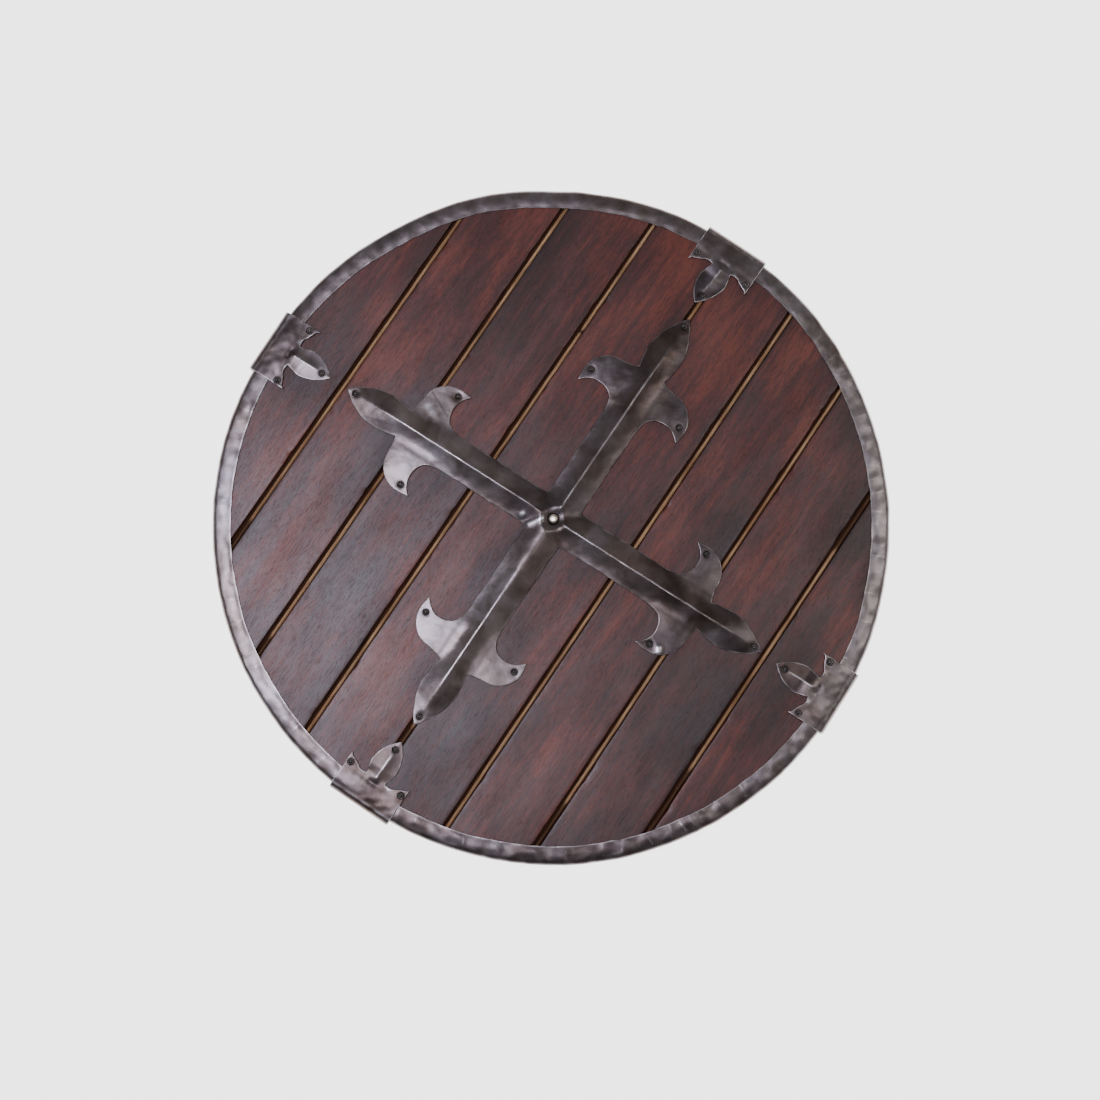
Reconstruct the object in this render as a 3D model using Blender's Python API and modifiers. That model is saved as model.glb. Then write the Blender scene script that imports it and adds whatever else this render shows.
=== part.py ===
"""A round wooden shield lying on its back, its face up.

Eight tongue-and-groove planks run along Y inside a folded steel rim. A cross of ridged
steel sheet is nailed to the face, and four folded clips hold the rim where the arms point.
The origin is under the middle of the shield, on the surface that it lies on.
"""
import bpy
import bmesh
from math import cos, sin, atan2, hypot, pi, radians
from mathutils import Matrix, Vector

OBJECT_NAME = "round_shield"

# Space between pieces that touch, in metres like every size here
TOUCH_GAP = 0.0003

# Board and its planks
RIM_RADIUS = 0.3033
BOARD_THICKNESS = 0.012
BOARD_EDGE_ROUND = 0.0030
PLANK_COUNT = 8
EDGE_PLANK_WIDTH = 0.0774
FACE_GAP = 0.0066
BACK_GAP = 0.0006
TONGUE_DROP = 0.0040
TONGUE_THICKNESS = 0.0036
TONGUE_HOLD = 0.0045
TONGUE_END_SPACE = 0.0010
FACE_EDGE_EASE = 0.0007

# Rim, a strip folded over the board's edge
RIM_SHEET = 0.0012
RIM_FRONT_WIDTH = 0.0165
RIM_BACK_WIDTH = 0.0150

# Half the blunt end of each leaf's tip
LEAF_TIP_BLUNT = 0.0004

# Clips that are folded over the rim
CLIP_SHEET = 0.0012
CLIP_WIDTH = 0.0612
CLIP_BACK_DEPTH = 0.0200
CLIP_PLATE_DEPTH = 0.0290
CLIP_HORN_LENGTH = 0.0085
CLIP_HORN_WIDTH = 0.0136
CLIP_HORN_HOLLOW_IN = 0.0061
CLIP_HORN_HOLLOW_DEPTH = 0.0042
CLIP_LEAF_ROOT = 0.0098
CLIP_LEAF_HALF_WIDTH = 0.0130
CLIP_LEAF_WIDEST = 0.0240
CLIP_LENGTH = 0.0675
CLIP_RIDGE_HEIGHT = 0.0030
CLIP_RIDGE_HALF_WIDTH = 0.0085
CLIP_HORN_NAIL_IN = 0.0040
CLIP_HORN_TIP_TO_NAIL = 0.0087
CLIP_TIP_TO_NAIL = 0.0086

# Cross
CROSS_SHEET = 0.0012
CROSS_SHIFT_X = 0.0012
CROSS_SHIFT_Y = 0.0015
CROSS_SKEW = radians(1.3)
ARM_TO_CLIP = 0.0178
ARM_HALF_WIDTH = 0.0174
ARM_CORNER_FILLET = 0.0040
RIDGE_HEIGHT = 0.0070
DISH_HALF_WIDTH = 0.0070
NECK_TO_TIP = 0.0610
NECK_HALF_WIDTH = 0.0134
LEAF_WIDEST_TO_TIP = 0.0390
LEAF_HALF_WIDTH = 0.0168
RIDGE_END_TO_TIP = 0.0135
TIP_TO_NAIL = 0.0080
LOBE_CENTRE_TO_TIP = 0.0885
LOBE_CENTRE_SIDE = 0.0300
LOBE_RADIUS = 0.0236
LOBE_ARC_START = radians(97)
LOBE_ARC_END = radians(-8)
LOBE_POINT_TO_TIP = 0.1015
LOBE_POINT_SIDE = 0.0527
LOBE_HOLLOW_TO_TIP = 0.0930
LOBE_HOLLOW_SIDE = 0.0365
LOBE_FOOT_TO_TIP = 0.1090
LOBE_NAIL_TO_TIP = 0.0875
LOBE_NAIL_IN = 0.0061

# Nails and the stud in the middle
NAIL_HEAD_RADIUS = 0.0031
NAIL_HEAD_HEIGHT = 0.0022
NAIL_SHANK_RADIUS = 0.0012
NAIL_LENGTH = 0.0105
STUD_HEAD_RADIUS = 0.0054
STUD_HEAD_HEIGHT = 0.0036
STUD_SHANK_RADIUS = 0.0025
STUD_LENGTH = 0.0150
SHANK_CLEARANCE = 0.0003
HOLE_END_SPACE = 0.0005

# Facets
TURN_STEPS = 80
FOLD_STEPS = 2
ARC_STEPS = 6
FILLET_STEPS = 3
NAIL_STEPS = 8
STUD_STEPS = 16

# Heights above the surface that the shield lies on
RIM_BOTTOM = CLIP_SHEET + TOUCH_GAP
BOARD_BOTTOM = RIM_BOTTOM + RIM_SHEET + TOUCH_GAP
BOARD_TOP = BOARD_BOTTOM + BOARD_THICKNESS
RIM_TOP = BOARD_TOP + TOUCH_GAP + RIM_SHEET
ON_BOARD = BOARD_TOP + TOUCH_GAP
ON_RIM = RIM_TOP + TOUCH_GAP

# Sizes that follow from the rim
BOARD_RADIUS = RIM_RADIUS - RIM_SHEET - TOUCH_GAP
RIM_FOLD = BOARD_EDGE_ROUND + TOUCH_GAP + RIM_SHEET
CLIP_FOLD = RIM_FOLD + TOUCH_GAP
CLIP_WALL = RIM_RADIUS + TOUCH_GAP
PLANK_PITCH = (BOARD_RADIUS - EDGE_PLANK_WIDTH) / (PLANK_COUNT / 2 - 1)
ARM_LENGTH = CLIP_WALL + CLIP_SHEET - CLIP_LENGTH - ARM_TO_CLIP

LOBE_NAIL_SIDE = LOBE_CENTRE_SIDE + LOBE_RADIUS - LOBE_NAIL_IN

# Clip sizes that follow from its plate and its width
CLIP_HORN_DEPTH = CLIP_PLATE_DEPTH + CLIP_HORN_LENGTH
CLIP_HORN_NAIL_DEPTH = CLIP_HORN_DEPTH - CLIP_HORN_TIP_TO_NAIL
CLIP_HORN_NAIL_SIDE = CLIP_WIDTH / 2 - CLIP_HORN_NAIL_IN

# How far a cutter reaches past what it cuts
CUT_PAST = 0.010


def new_collection(name):
    collection = bpy.data.collections.new(name)
    bpy.context.scene.collection.children.link(collection)
    return collection


def new_material(name, colour, metallic, roughness):
    material = bpy.data.materials.new(name)
    material.use_nodes = True
    shader = material.node_tree.nodes["Principled BSDF"]
    shader.inputs["Base Color"].default_value = (*colour, 1)
    shader.inputs["Metallic"].default_value = metallic
    shader.inputs["Roughness"].default_value = roughness
    return material


def add_object(name, data, collection, material=None):
    thing = bpy.data.objects.new(name, data)
    collection.objects.link(thing)
    if material and not data.materials:
        data.materials.append(material)
    return thing


def add_cutter(name, data):
    cutter = add_object(name, data, cutters)
    cutter.hide_render = True
    cutter.display_type = 'WIRE'
    return cutter


def mesh_of(thing):
    """The thing as its modifiers leave it, as a new mesh."""
    evaluated = thing.evaluated_get(bpy.context.evaluated_depsgraph_get())
    return bpy.data.meshes.new_from_object(evaluated)


def extruded(name, outline, length):
    """A closed outline in its own XY plane, extruded half the length to both sides."""
    curve = bpy.data.curves.new(name, 'CURVE')
    curve.dimensions = '2D'
    curve.fill_mode = 'BOTH'
    curve.extrude = length / 2
    spline = curve.splines.new('POLY')
    spline.points.add(len(outline) - 1)
    for point, (x, y) in zip(spline.points, outline):
        point.co = (x, y, 0, 1)
    spline.use_cyclic_u = True
    guide = add_object(name, curve, cutters)
    mesh = mesh_of(guide)
    bpy.data.objects.remove(guide)
    bm = bmesh.new()
    bm.from_mesh(mesh)
    bmesh.ops.remove_doubles(bm, verts=bm.verts, dist=1e-6)
    bmesh.ops.recalc_face_normals(bm, faces=bm.faces)
    bm.to_mesh(mesh)
    bm.free()
    return mesh


def profile_mesh(name, points, closed=False):
    """A profile in the XZ plane, for a Screw modifier."""
    bm = bmesh.new()
    verts = [bm.verts.new((x, 0, z)) for x, z in points]
    for a, b in zip(verts, verts[1:]):
        bm.edges.new((a, b))
    if closed:
        bm.edges.new((verts[-1], verts[0]))
    mesh = bpy.data.meshes.new(name)
    bm.to_mesh(mesh)
    bm.free()
    return mesh


def add_turn(thing, steps):
    screw = thing.modifiers.new("turn", 'SCREW')
    screw.axis = 'Z'
    screw.angle = 2 * pi
    screw.steps = steps
    screw.render_steps = steps
    screw.use_merge_vertices = True
    screw.merge_threshold = 0.00001


def turned_mesh(name, points, steps):
    guide = add_object(name, profile_mesh(name, points), cutters)
    add_turn(guide, steps)
    mesh = mesh_of(guide)
    bpy.data.objects.remove(guide)
    return mesh


def add_boolean(thing, cutter, operation):
    boolean = thing.modifiers.new(cutter.name, 'BOOLEAN')
    boolean.operation = operation
    boolean.solver = 'EXACT'
    boolean.object = cutter


def arc(centre, radius, start, end, steps):
    """Points on an arc, its angles in radians."""
    cx, cy = centre
    angles = [start + (end - start) * i / steps for i in range(steps + 1)]
    return [(cx + radius * cos(a), cy + radius * sin(a)) for a in angles]


def arc_through(a, b, c, steps):
    """Points on the arc that runs from a through b to c."""
    (ax, ay), (bx, by), (cx, cy) = a, b, c
    d = 2 * (ax * (by - cy) + bx * (cy - ay) + cx * (ay - by))
    a2, b2, c2 = ax * ax + ay * ay, bx * bx + by * by, cx * cx + cy * cy
    ux = (a2 * (by - cy) + b2 * (cy - ay) + c2 * (ay - by)) / d
    uy = (a2 * (cx - bx) + b2 * (ax - cx) + c2 * (bx - ax)) / d
    start = atan2(ay - uy, ax - ux)
    middle = (atan2(by - uy, bx - ux) - start) % (2 * pi)
    end = (atan2(cy - uy, cx - ux) - start) % (2 * pi)
    if middle > end:
        end -= 2 * pi
    return arc((ux, uy), hypot(ax - ux, ay - uy), start, start + end, steps)


def mirrored(side):
    """The same points on the other side of the X axis, in the opposite order."""
    return [(x, -y) for x, y in reversed(side)]


def turn(point, angle):
    x, y = point
    return (x * cos(angle) - y * sin(angle), x * sin(angle) + y * cos(angle))


def between(x, stops):
    """The value at x on straight lines between the stops, given as (x, value)."""
    if x <= stops[0][0]:
        return stops[0][1]
    for (x0, v0), (x1, v1) in zip(stops, stops[1:]):
        if x <= x1:
            return v0 + (v1 - v0) * (x - x0) / (x1 - x0)
    return stops[-1][1]


def sheet_slab(name, columns, rows, place, thickness):
    """A sheet that place(column, row) bends to shape, thickened on its upper side."""
    bm = bmesh.new()
    bmesh.ops.create_grid(bm, x_segments=len(columns) - 1, y_segments=len(rows) - 1, size=1)
    for vert in bm.verts:
        i = round((vert.co.x + 1) / 2 * (len(columns) - 1))
        j = round((vert.co.y + 1) / 2 * (len(rows) - 1))
        vert.co = place(columns[i], rows[j])
    for face in list(bm.faces):
        a, b, c, d = face.verts
        fold = (a, c) if a.co.z + c.co.z < b.co.z + d.co.z else (b, d)
        bmesh.utils.face_split(face, *fold)
    mesh = bpy.data.meshes.new(name)
    bm.to_mesh(mesh)
    bm.free()
    guide = add_object(name, mesh, cutters)
    solidify = guide.modifiers.new("sheet", 'SOLIDIFY')
    solidify.thickness = thickness
    solidify.offset = 1
    solidify.use_even_offset = True
    slab = mesh_of(guide)
    bpy.data.objects.remove(guide)
    return slab


def half_facet(is_stud):
    """Turns a nail and its hole so that a facet, not a corner, meets a ridge line."""
    return pi / (STUD_STEPS if is_stud else NAIL_STEPS)


def shank_cutter(name, nails):
    """One mesh of round holes for the shanks of these nails, each (x, y, seat, is_stud)."""
    bm = bmesh.new()
    for x, y, seat, is_stud in nails:
        radius = (STUD_SHANK_RADIUS if is_stud else NAIL_SHANK_RADIUS) + SHANK_CLEARANCE
        length = STUD_LENGTH if is_stud else NAIL_LENGTH
        bottom = seat - length - HOLE_END_SPACE
        top = seat + CUT_PAST
        middle = Matrix.Translation((x, y, (top + bottom) / 2))
        bmesh.ops.create_cone(
            bm, cap_ends=True, segments=STUD_STEPS if is_stud else NAIL_STEPS,
            radius1=radius, radius2=radius, depth=top - bottom,
            matrix=middle @ Matrix.Rotation(half_facet(is_stud), 4, 'Z'))
    mesh = bpy.data.meshes.new(name)
    bm.to_mesh(mesh)
    bm.free()
    return add_cutter(name, mesh)


def plank_section(left, right):
    """A plank's section in XZ between two joints; None stands for the board's own edge."""
    tongue_top = BOARD_TOP - TONGUE_DROP
    tongue_bottom = tongue_top - TONGUE_THICKNESS
    past = BOARD_RADIUS + CUT_PAST
    low, high = BOARD_BOTTOM - CUT_PAST, BOARD_TOP + CUT_PAST
    if left is None:
        points = [(-past, low), (-past, high)]
    else:
        shoulder = left + FACE_GAP / 2
        end = left - FACE_GAP / 2 - TONGUE_HOLD
        points = [(shoulder, low), (shoulder, tongue_bottom), (end, tongue_bottom), (end, tongue_top),
                  (shoulder, tongue_top), (shoulder, BOARD_TOP - FACE_EDGE_EASE),
                  (shoulder + FACE_EDGE_EASE, BOARD_TOP), (shoulder + FACE_EDGE_EASE, high)]
    if right is None:
        points += [(past, high), (past, low)]
    else:
        edge = right - FACE_GAP / 2
        groove_end = edge - TONGUE_HOLD - TONGUE_END_SPACE
        cheek = right + FACE_GAP / 2 - BACK_GAP
        groove_top = tongue_top + TOUCH_GAP
        groove_bottom = tongue_bottom - TOUCH_GAP
        points += [(edge - FACE_EDGE_EASE, high), (edge - FACE_EDGE_EASE, BOARD_TOP),
                   (edge, BOARD_TOP - FACE_EDGE_EASE), (edge, groove_top), (groove_end, groove_top),
                   (groove_end, groove_bottom), (cheek, groove_bottom), (cheek, low)]
    return points


def add_planks():
    rounding = BOARD_EDGE_ROUND
    inner = BOARD_RADIUS - rounding
    top_arc = arc((inner, BOARD_TOP - rounding), rounding, pi / 2, 0, FOLD_STEPS)
    bottom_arc = arc((inner, BOARD_BOTTOM + rounding), rounding, 0, -pi / 2, FOLD_STEPS)
    profile = [(0, BOARD_TOP)] + top_arc + bottom_arc + [(0, BOARD_BOTTOM)]
    board = add_cutter("board_blank", turned_mesh("board_blank", profile, TURN_STEPS))
    holes = shank_cutter("board_holes", all_nails)
    joints = [(number - PLANK_COUNT / 2) * PLANK_PITCH for number in range(1, PLANK_COUNT)]
    for number, (left, right) in enumerate(zip([None] + joints, joints + [None]), 1):
        name = f"plank_{number}"
        blank = extruded(name, plank_section(left, right), 2 * (BOARD_RADIUS + CUT_PAST))
        plank = add_object(name, blank, parts, wood)
        plank.rotation_euler.x = pi / 2
        add_boolean(plank, board, 'INTERSECT')
        add_boolean(plank, holes, 'DIFFERENCE')


def add_rim():
    fold, sheet = RIM_FOLD, RIM_SHEET
    middle = RIM_RADIUS - fold
    front_edge = RIM_RADIUS - RIM_FRONT_WIDTH
    back_edge = RIM_RADIUS - RIM_BACK_WIDTH
    top_centre = (middle, RIM_TOP - fold)
    bottom_centre = (middle, RIM_BOTTOM + fold)
    outside = arc(top_centre, fold, pi / 2, 0, FOLD_STEPS) + arc(bottom_centre, fold, 0, -pi / 2, FOLD_STEPS)
    inside = arc(bottom_centre, fold - sheet, -pi / 2, 0, FOLD_STEPS)
    inside += arc(top_centre, fold - sheet, 0, pi / 2, FOLD_STEPS)
    profile = [(front_edge, RIM_TOP)] + outside + [(back_edge, RIM_BOTTOM), (back_edge, RIM_BOTTOM + sheet)]
    profile += inside + [(front_edge, RIM_TOP - sheet)]
    rim = add_object("rim", profile_mesh("rim", profile, closed=True), parts, steel)
    add_turn(rim, TURN_STEPS)


def clip_outline():
    """The flat clip seen from the front: X points out of the shield, and 0 is the wall's inner face."""
    half = CLIP_WIDTH / 2
    outer = CLIP_SHEET + CUT_PAST
    plate = CLIP_SHEET - CLIP_PLATE_DEPTH
    horn = (CLIP_SHEET - CLIP_HORN_DEPTH, half)
    root = (plate, half - CLIP_HORN_WIDTH)
    hollow = (plate - CLIP_HORN_HOLLOW_DEPTH, half - CLIP_HORN_HOLLOW_IN)
    tip = (CLIP_SHEET - CLIP_LENGTH, LEAF_TIP_BLUNT)
    widest = (tip[0] + CLIP_LEAF_WIDEST, CLIP_LEAF_HALF_WIDTH)
    neck = (plate, CLIP_LEAF_ROOT)
    side = [(outer, half), horn] + arc_through(horn, hollow, root, ARC_STEPS)[1:]
    side += arc_through(neck, widest, tip, ARC_STEPS)
    return side + mirrored(side)


def clip_nail_places():
    horn = CLIP_SHEET - CLIP_HORN_NAIL_DEPTH
    leaf = CLIP_SHEET - CLIP_LENGTH + CLIP_TIP_TO_NAIL
    on_plate = ON_RIM + CLIP_SHEET + TOUCH_GAP
    on_leaf = ON_BOARD + CLIP_SHEET + TOUCH_GAP
    return [("horn_a", horn, CLIP_HORN_NAIL_SIDE, on_plate),
            ("horn_b", horn, -CLIP_HORN_NAIL_SIDE, on_plate),
            ("leaf", leaf, 0, on_leaf)]


def clip_mesh():
    """One clip that points out along +X, at its real place on the rim."""
    fold = CLIP_FOLD
    low, high = CLIP_SHEET, ON_RIM
    nail = CLIP_LENGTH - CLIP_SHEET - CLIP_TIP_TO_NAIL
    horn_nail = CLIP_HORN_NAIL_DEPTH - CLIP_SHEET
    step_start = horn_nail + NAIL_HEAD_RADIUS + TOUCH_GAP
    ridge_end = nail - NAIL_HEAD_RADIUS - 2 * TOUCH_GAP
    step_end = (step_start + ridge_end) / 2
    ridge_start = CLIP_PLATE_DEPTH - CLIP_SHEET - CLIP_LEAF_ROOT
    end = CLIP_LENGTH + CUT_PAST
    bends = arc((-fold, low + fold), fold, -pi / 2, 0, FOLD_STEPS)
    bends += arc((-fold, high - fold), fold, 0, pi / 2, FOLD_STEPS)
    path = [(CLIP_SHEET - CLIP_BACK_DEPTH, low)] + bends
    face = sorted((ridge_start, step_start, step_end, ridge_end, end))
    path += [(-depth, between(depth, [(step_start, high), (step_end, ON_BOARD)])) for depth in face]
    crest = [(ridge_start, 0), (step_start, CLIP_RIDGE_HEIGHT), (step_end, CLIP_RIDGE_HEIGHT), (ridge_end, 0)]
    first_face = len(path) - len(face)
    half = CLIP_WIDTH / 2 + CUT_PAST
    columns = [-half, -CLIP_RIDGE_HALF_WIDTH, 0, CLIP_RIDGE_HALF_WIDTH, half]

    def place(side, index):
        x, z = path[index]
        if side == 0 and index >= first_face:
            z += between(-x, crest)
        return Vector((x, side, z))

    slab = sheet_slab("clip", columns, range(len(path)), place, CLIP_SHEET)
    outline = extruded("clip_outline", clip_outline(), 2 * (ON_RIM + CUT_PAST))
    outline_cutter = add_cutter("clip_outline", outline)
    nails = [(x, y, seat, False) for name, x, y, seat in clip_nail_places()]
    hole_cutter = shank_cutter("clip_holes", nails)
    guide = add_object("clip", slab, cutters)
    add_boolean(guide, outline_cutter, 'INTERSECT')
    add_boolean(guide, hole_cutter, 'DIFFERENCE')
    mesh = mesh_of(guide)
    for used in (guide, outline_cutter, hole_cutter):
        bpy.data.objects.remove(used)
    mesh.transform(Matrix.Translation((CLIP_WALL, 0, 0)))
    return mesh


def add_clips():
    mesh = clip_mesh()
    for name, angle in directions.items():
        clip = add_object(f"rim_clip_{name}", mesh, parts, steel)
        clip.rotation_euler.z = angle


def arm_side():
    """The left edge of an arm that points along +X, from the bar to the leaf's tip."""
    def at(to_tip, side):
        return (ARM_LENGTH - to_tip, side)

    foot = at(LOBE_FOOT_TO_TIP, ARM_HALF_WIDTH)
    hollow = at(LOBE_HOLLOW_TO_TIP, LOBE_HOLLOW_SIDE)
    point = at(LOBE_POINT_TO_TIP, LOBE_POINT_SIDE)
    neck = at(NECK_TO_TIP, NECK_HALF_WIDTH)
    widest = at(LEAF_WIDEST_TO_TIP, LEAF_HALF_WIDTH)
    tip = at(0, LEAF_TIP_BLUNT)
    centre = at(LOBE_CENTRE_TO_TIP, LOBE_CENTRE_SIDE)
    side = arc_through(foot, hollow, point, ARC_STEPS)
    side += arc(centre, LOBE_RADIUS, LOBE_ARC_START, LOBE_ARC_END, ARC_STEPS)
    side += arc_through(neck, widest, tip, ARC_STEPS)
    return side


def cross_outline(arm_angles):
    """The whole cross, with a fillet in each corner between two arms."""
    back = arm_side()[::-1]
    outline = []
    for number, angle in enumerate(arm_angles):
        after = arm_angles[(number + 1) % len(arm_angles)]
        spread = (after - angle) % (2 * pi)
        outline += [turn(point, angle) for point in mirrored(back) + back]
        reach = (ARM_HALF_WIDTH + ARM_CORNER_FILLET) / sin(spread / 2)
        centre = turn((reach, 0), angle + spread / 2)
        outline += arc(centre, ARM_CORNER_FILLET, angle - pi / 2, angle + spread - 3 * pi / 2, FILLET_STEPS)
    return outline


def cross_mesh(arm_angles):
    """The cross with its centre at the origin and its underside on Z = 0."""
    fall = ARM_LENGTH - LEAF_WIDEST_TO_TIP
    end = ARM_LENGTH - RIDGE_END_TO_TIP
    half_fallen = fall + (end - fall) * (1 - DISH_HALF_WIDTH / ARM_HALF_WIDTH)
    half = [DISH_HALF_WIDTH, ARM_HALF_WIDTH, fall, half_fallen, end, ARM_LENGTH + CUT_PAST]
    stations = [-s for s in reversed(half)] + [0] + half
    along, across = arm_angles[0], arm_angles[1]

    def roof(offset, distance):
        """A ridge roof that ends in a hip over the leaf."""
        fallen = max(0, distance - fall) / (end - fall)
        return RIDGE_HEIGHT * max(0, 1 - offset / ARM_HALF_WIDTH - fallen)

    def place(u, v):
        height = max(roof(abs(u), abs(v)), roof(abs(v), abs(u)))
        if max(abs(u), abs(v)) <= DISH_HALF_WIDTH:
            height = dish_height()
        x, y = turn((u, 0), along)
        x2, y2 = turn((v, 0), across)
        return Vector((x + x2, y + y2, height))

    slab = sheet_slab("cross", stations, stations, place, CROSS_SHEET)
    outline = extruded("cross_outline", cross_outline(arm_angles), 2 * (RIDGE_HEIGHT + CUT_PAST))
    outline_cutter = add_cutter("cross_outline", outline)
    guide = add_object("cross", slab, cutters)
    add_boolean(guide, outline_cutter, 'INTERSECT')
    mesh = mesh_of(guide)
    for used in (guide, outline_cutter):
        bpy.data.objects.remove(used)
    return mesh


def dish_height():
    """Height of the flat that is hammered round the stud: where the four ridges' valleys reach it."""
    return RIDGE_HEIGHT * (1 - DISH_HALF_WIDTH / ARM_HALF_WIDTH)


def add_cross():
    cross = add_object("cross", cross_mesh(list(directions.values())), parts, steel)
    cross.location = (CROSS_SHIFT_X, CROSS_SHIFT_Y, ON_BOARD)
    add_boolean(cross, shank_cutter("cross_holes", cross_nails), 'DIFFERENCE')


def dome_mesh(name, head_radius, head_height, shank_radius, length, steps):
    """A dome-head nail turned about Z, with the underside of its head at Z = 0."""
    ball = (head_radius ** 2 + head_height ** 2) / (2 * head_height)
    rise = atan2(ball - head_height, head_radius)
    dome = arc((0, head_height - ball), ball, pi / 2, rise, FOLD_STEPS)
    profile = [(0, head_height)] + dome[1:] + [(shank_radius, 0), (shank_radius, -length), (0, -length)]
    mesh = turned_mesh(name, profile, steps)
    mesh.shade_smooth()
    mesh.set_sharp_from_angle(angle=radians(50))
    return mesh


def nail_list():
    """Every nail as (node name, x, y, height of its seat, is the stud)."""
    nails = []
    on_sheet = ON_BOARD + CROSS_SHEET + TOUCH_GAP
    tip_nail = ARM_LENGTH - TIP_TO_NAIL
    lobe_nail = ARM_LENGTH - LOBE_NAIL_TO_TIP
    for arm, angle in directions.items():
        for part, point in (("tip", (tip_nail, 0)), ("lobe_a", (lobe_nail, LOBE_NAIL_SIDE)),
                            ("lobe_b", (lobe_nail, -LOBE_NAIL_SIDE))):
            x, y = turn(point, angle)
            nails.append((f"cross_nail_{arm}_{part}", x + CROSS_SHIFT_X, y + CROSS_SHIFT_Y, on_sheet, False))
    nails.append(("centre_stud", CROSS_SHIFT_X, CROSS_SHIFT_Y, on_sheet + dish_height(), True))
    for arm, angle in directions.items():
        for part, out, side, seat in clip_nail_places():
            x, y = turn((CLIP_WALL + out, side), angle)
            nails.append((f"clip_nail_{arm}_{part}", x, y, seat, False))
    return nails


def add_nails(nails):
    small = dome_mesh("nail", NAIL_HEAD_RADIUS, NAIL_HEAD_HEIGHT, NAIL_SHANK_RADIUS, NAIL_LENGTH, NAIL_STEPS)
    big = dome_mesh("stud", STUD_HEAD_RADIUS, STUD_HEAD_HEIGHT, STUD_SHANK_RADIUS, STUD_LENGTH, STUD_STEPS)
    for name, x, y, seat, is_stud in nails:
        nail = add_object(name, big if is_stud else small, parts, bright_steel if is_stud else dark_steel)
        nail.location = (x, y, seat)
        nail.rotation_euler.z = half_facet(is_stud)


for old in list(bpy.data.objects):
    bpy.data.objects.remove(old)

parts = new_collection(OBJECT_NAME)
cutters = new_collection("cutters")
wood = new_material("stained wood", (0.075, 0.022, 0.018), 0, 0.45)
steel = new_material("burnished steel", (0.16, 0.14, 0.14), 1, 0.38)
dark_steel = new_material("dark steel", (0.05, 0.045, 0.045), 1, 0.45)
bright_steel = new_material("bright steel", (0.55, 0.5, 0.42), 1, 0.3)

# Where the arms and the clips point; the side arms stand a little off square
directions = {"right": CROSS_SKEW, "top": pi / 2, "left": pi + CROSS_SKEW, "bottom": 3 * pi / 2}

named_nails = nail_list()
all_nails = [(x, y, seat, is_stud) for name, x, y, seat, is_stud in named_nails]
cross_nails = [nail[1:] for nail in named_nails if not nail[0].startswith("clip")]
add_planks()
add_rim()
add_clips()
add_cross()
add_nails(named_nails)
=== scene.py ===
"""Looks of a round wooden shield that lies on its back, seen from above.

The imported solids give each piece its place. Lengths are in metres and +Z is up off the floor.
The planks run along Y. The cross and the clips are described as flat patterns, as a smith cuts
them from sheet, and are then bent and hammered to shape.
"""
from math import cos, hypot, pi, radians, sin, tan

import bmesh
import bpy
import numpy as np
from mathutils import Matrix, Vector
from mathutils.geometry import delaunay_2d_cdt
from mathutils.kdtree import KDTree

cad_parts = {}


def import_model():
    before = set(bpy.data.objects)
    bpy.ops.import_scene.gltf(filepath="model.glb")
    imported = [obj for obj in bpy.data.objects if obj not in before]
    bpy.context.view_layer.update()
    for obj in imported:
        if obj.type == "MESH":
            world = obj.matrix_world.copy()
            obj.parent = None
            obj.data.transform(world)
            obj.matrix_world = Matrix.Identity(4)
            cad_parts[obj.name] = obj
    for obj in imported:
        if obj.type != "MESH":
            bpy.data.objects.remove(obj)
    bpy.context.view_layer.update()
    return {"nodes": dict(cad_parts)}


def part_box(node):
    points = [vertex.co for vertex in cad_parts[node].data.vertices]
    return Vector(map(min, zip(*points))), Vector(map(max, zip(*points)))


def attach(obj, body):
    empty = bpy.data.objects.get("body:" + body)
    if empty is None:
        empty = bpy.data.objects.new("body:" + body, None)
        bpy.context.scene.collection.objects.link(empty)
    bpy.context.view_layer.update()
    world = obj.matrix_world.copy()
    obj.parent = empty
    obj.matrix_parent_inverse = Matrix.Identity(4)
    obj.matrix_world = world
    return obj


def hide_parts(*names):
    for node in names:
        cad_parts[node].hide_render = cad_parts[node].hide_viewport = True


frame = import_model()

# Camera, from the shield's middle: photo right, photo up and the way it looks
LENS = 53.06
SENSOR = 36.0
CAMERA_PLACE = (0.0916, -0.1378, 1.4558)
PHOTO_RIGHT = Vector((0.829, 0.559, 0))
PHOTO_UP = Vector((-0.559, 0.829, 0))
CAMERA_TILT = radians(5.5)

# Sizes that the solids give
BOARD_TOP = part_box("plank_4")[1].z
BOARD_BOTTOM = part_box("plank_4")[0].z
BOARD_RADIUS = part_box("plank_8")[1].x
RIM_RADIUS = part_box("rim")[1].x
RIM_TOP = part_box("rim")[1].z
RIM_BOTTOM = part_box("rim")[0].z
CROSS_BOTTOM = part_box("cross")[0].z
CROSS_CENTRE = (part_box("centre_stud")[0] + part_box("centre_stud")[1]) / 2
CLIP_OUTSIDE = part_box("rim_clip_top")[1].y

# Planks
PLANK_PITCH = 0.0748
PLANK_COUNT = 8
FACE_GAP = 0.0066
TONGUE_TOP = BOARD_TOP - 0.0040
TONGUE_BOTTOM = TONGUE_TOP - 0.0036
TONGUE_HOLD = 0.0045
GROOVE_SPACE = 0.0010
BACK_GAP = 0.0006
SLIDE_GAP = 0.0003
BEAD_PLACE = 0.0010
BEAD_HALF_WIDTH = 0.0020
BEAD_HEIGHT = 0.0024
ARRIS = 0.0008
WALL_DROP = 0.0022
BOARD_EDGE_ROUND = 0.0030
# An outermost board's round side, from its back to its face: (distance in, height)
BOARD_SIDE = [(0.0040, BOARD_BOTTOM), (0.0016, BOARD_BOTTOM + 0.0012),
              (0.0008, (BOARD_BOTTOM + BOARD_TOP) / 2), (0.0016, BOARD_TOP - 0.0012), (0.0040, BOARD_TOP)]

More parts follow.
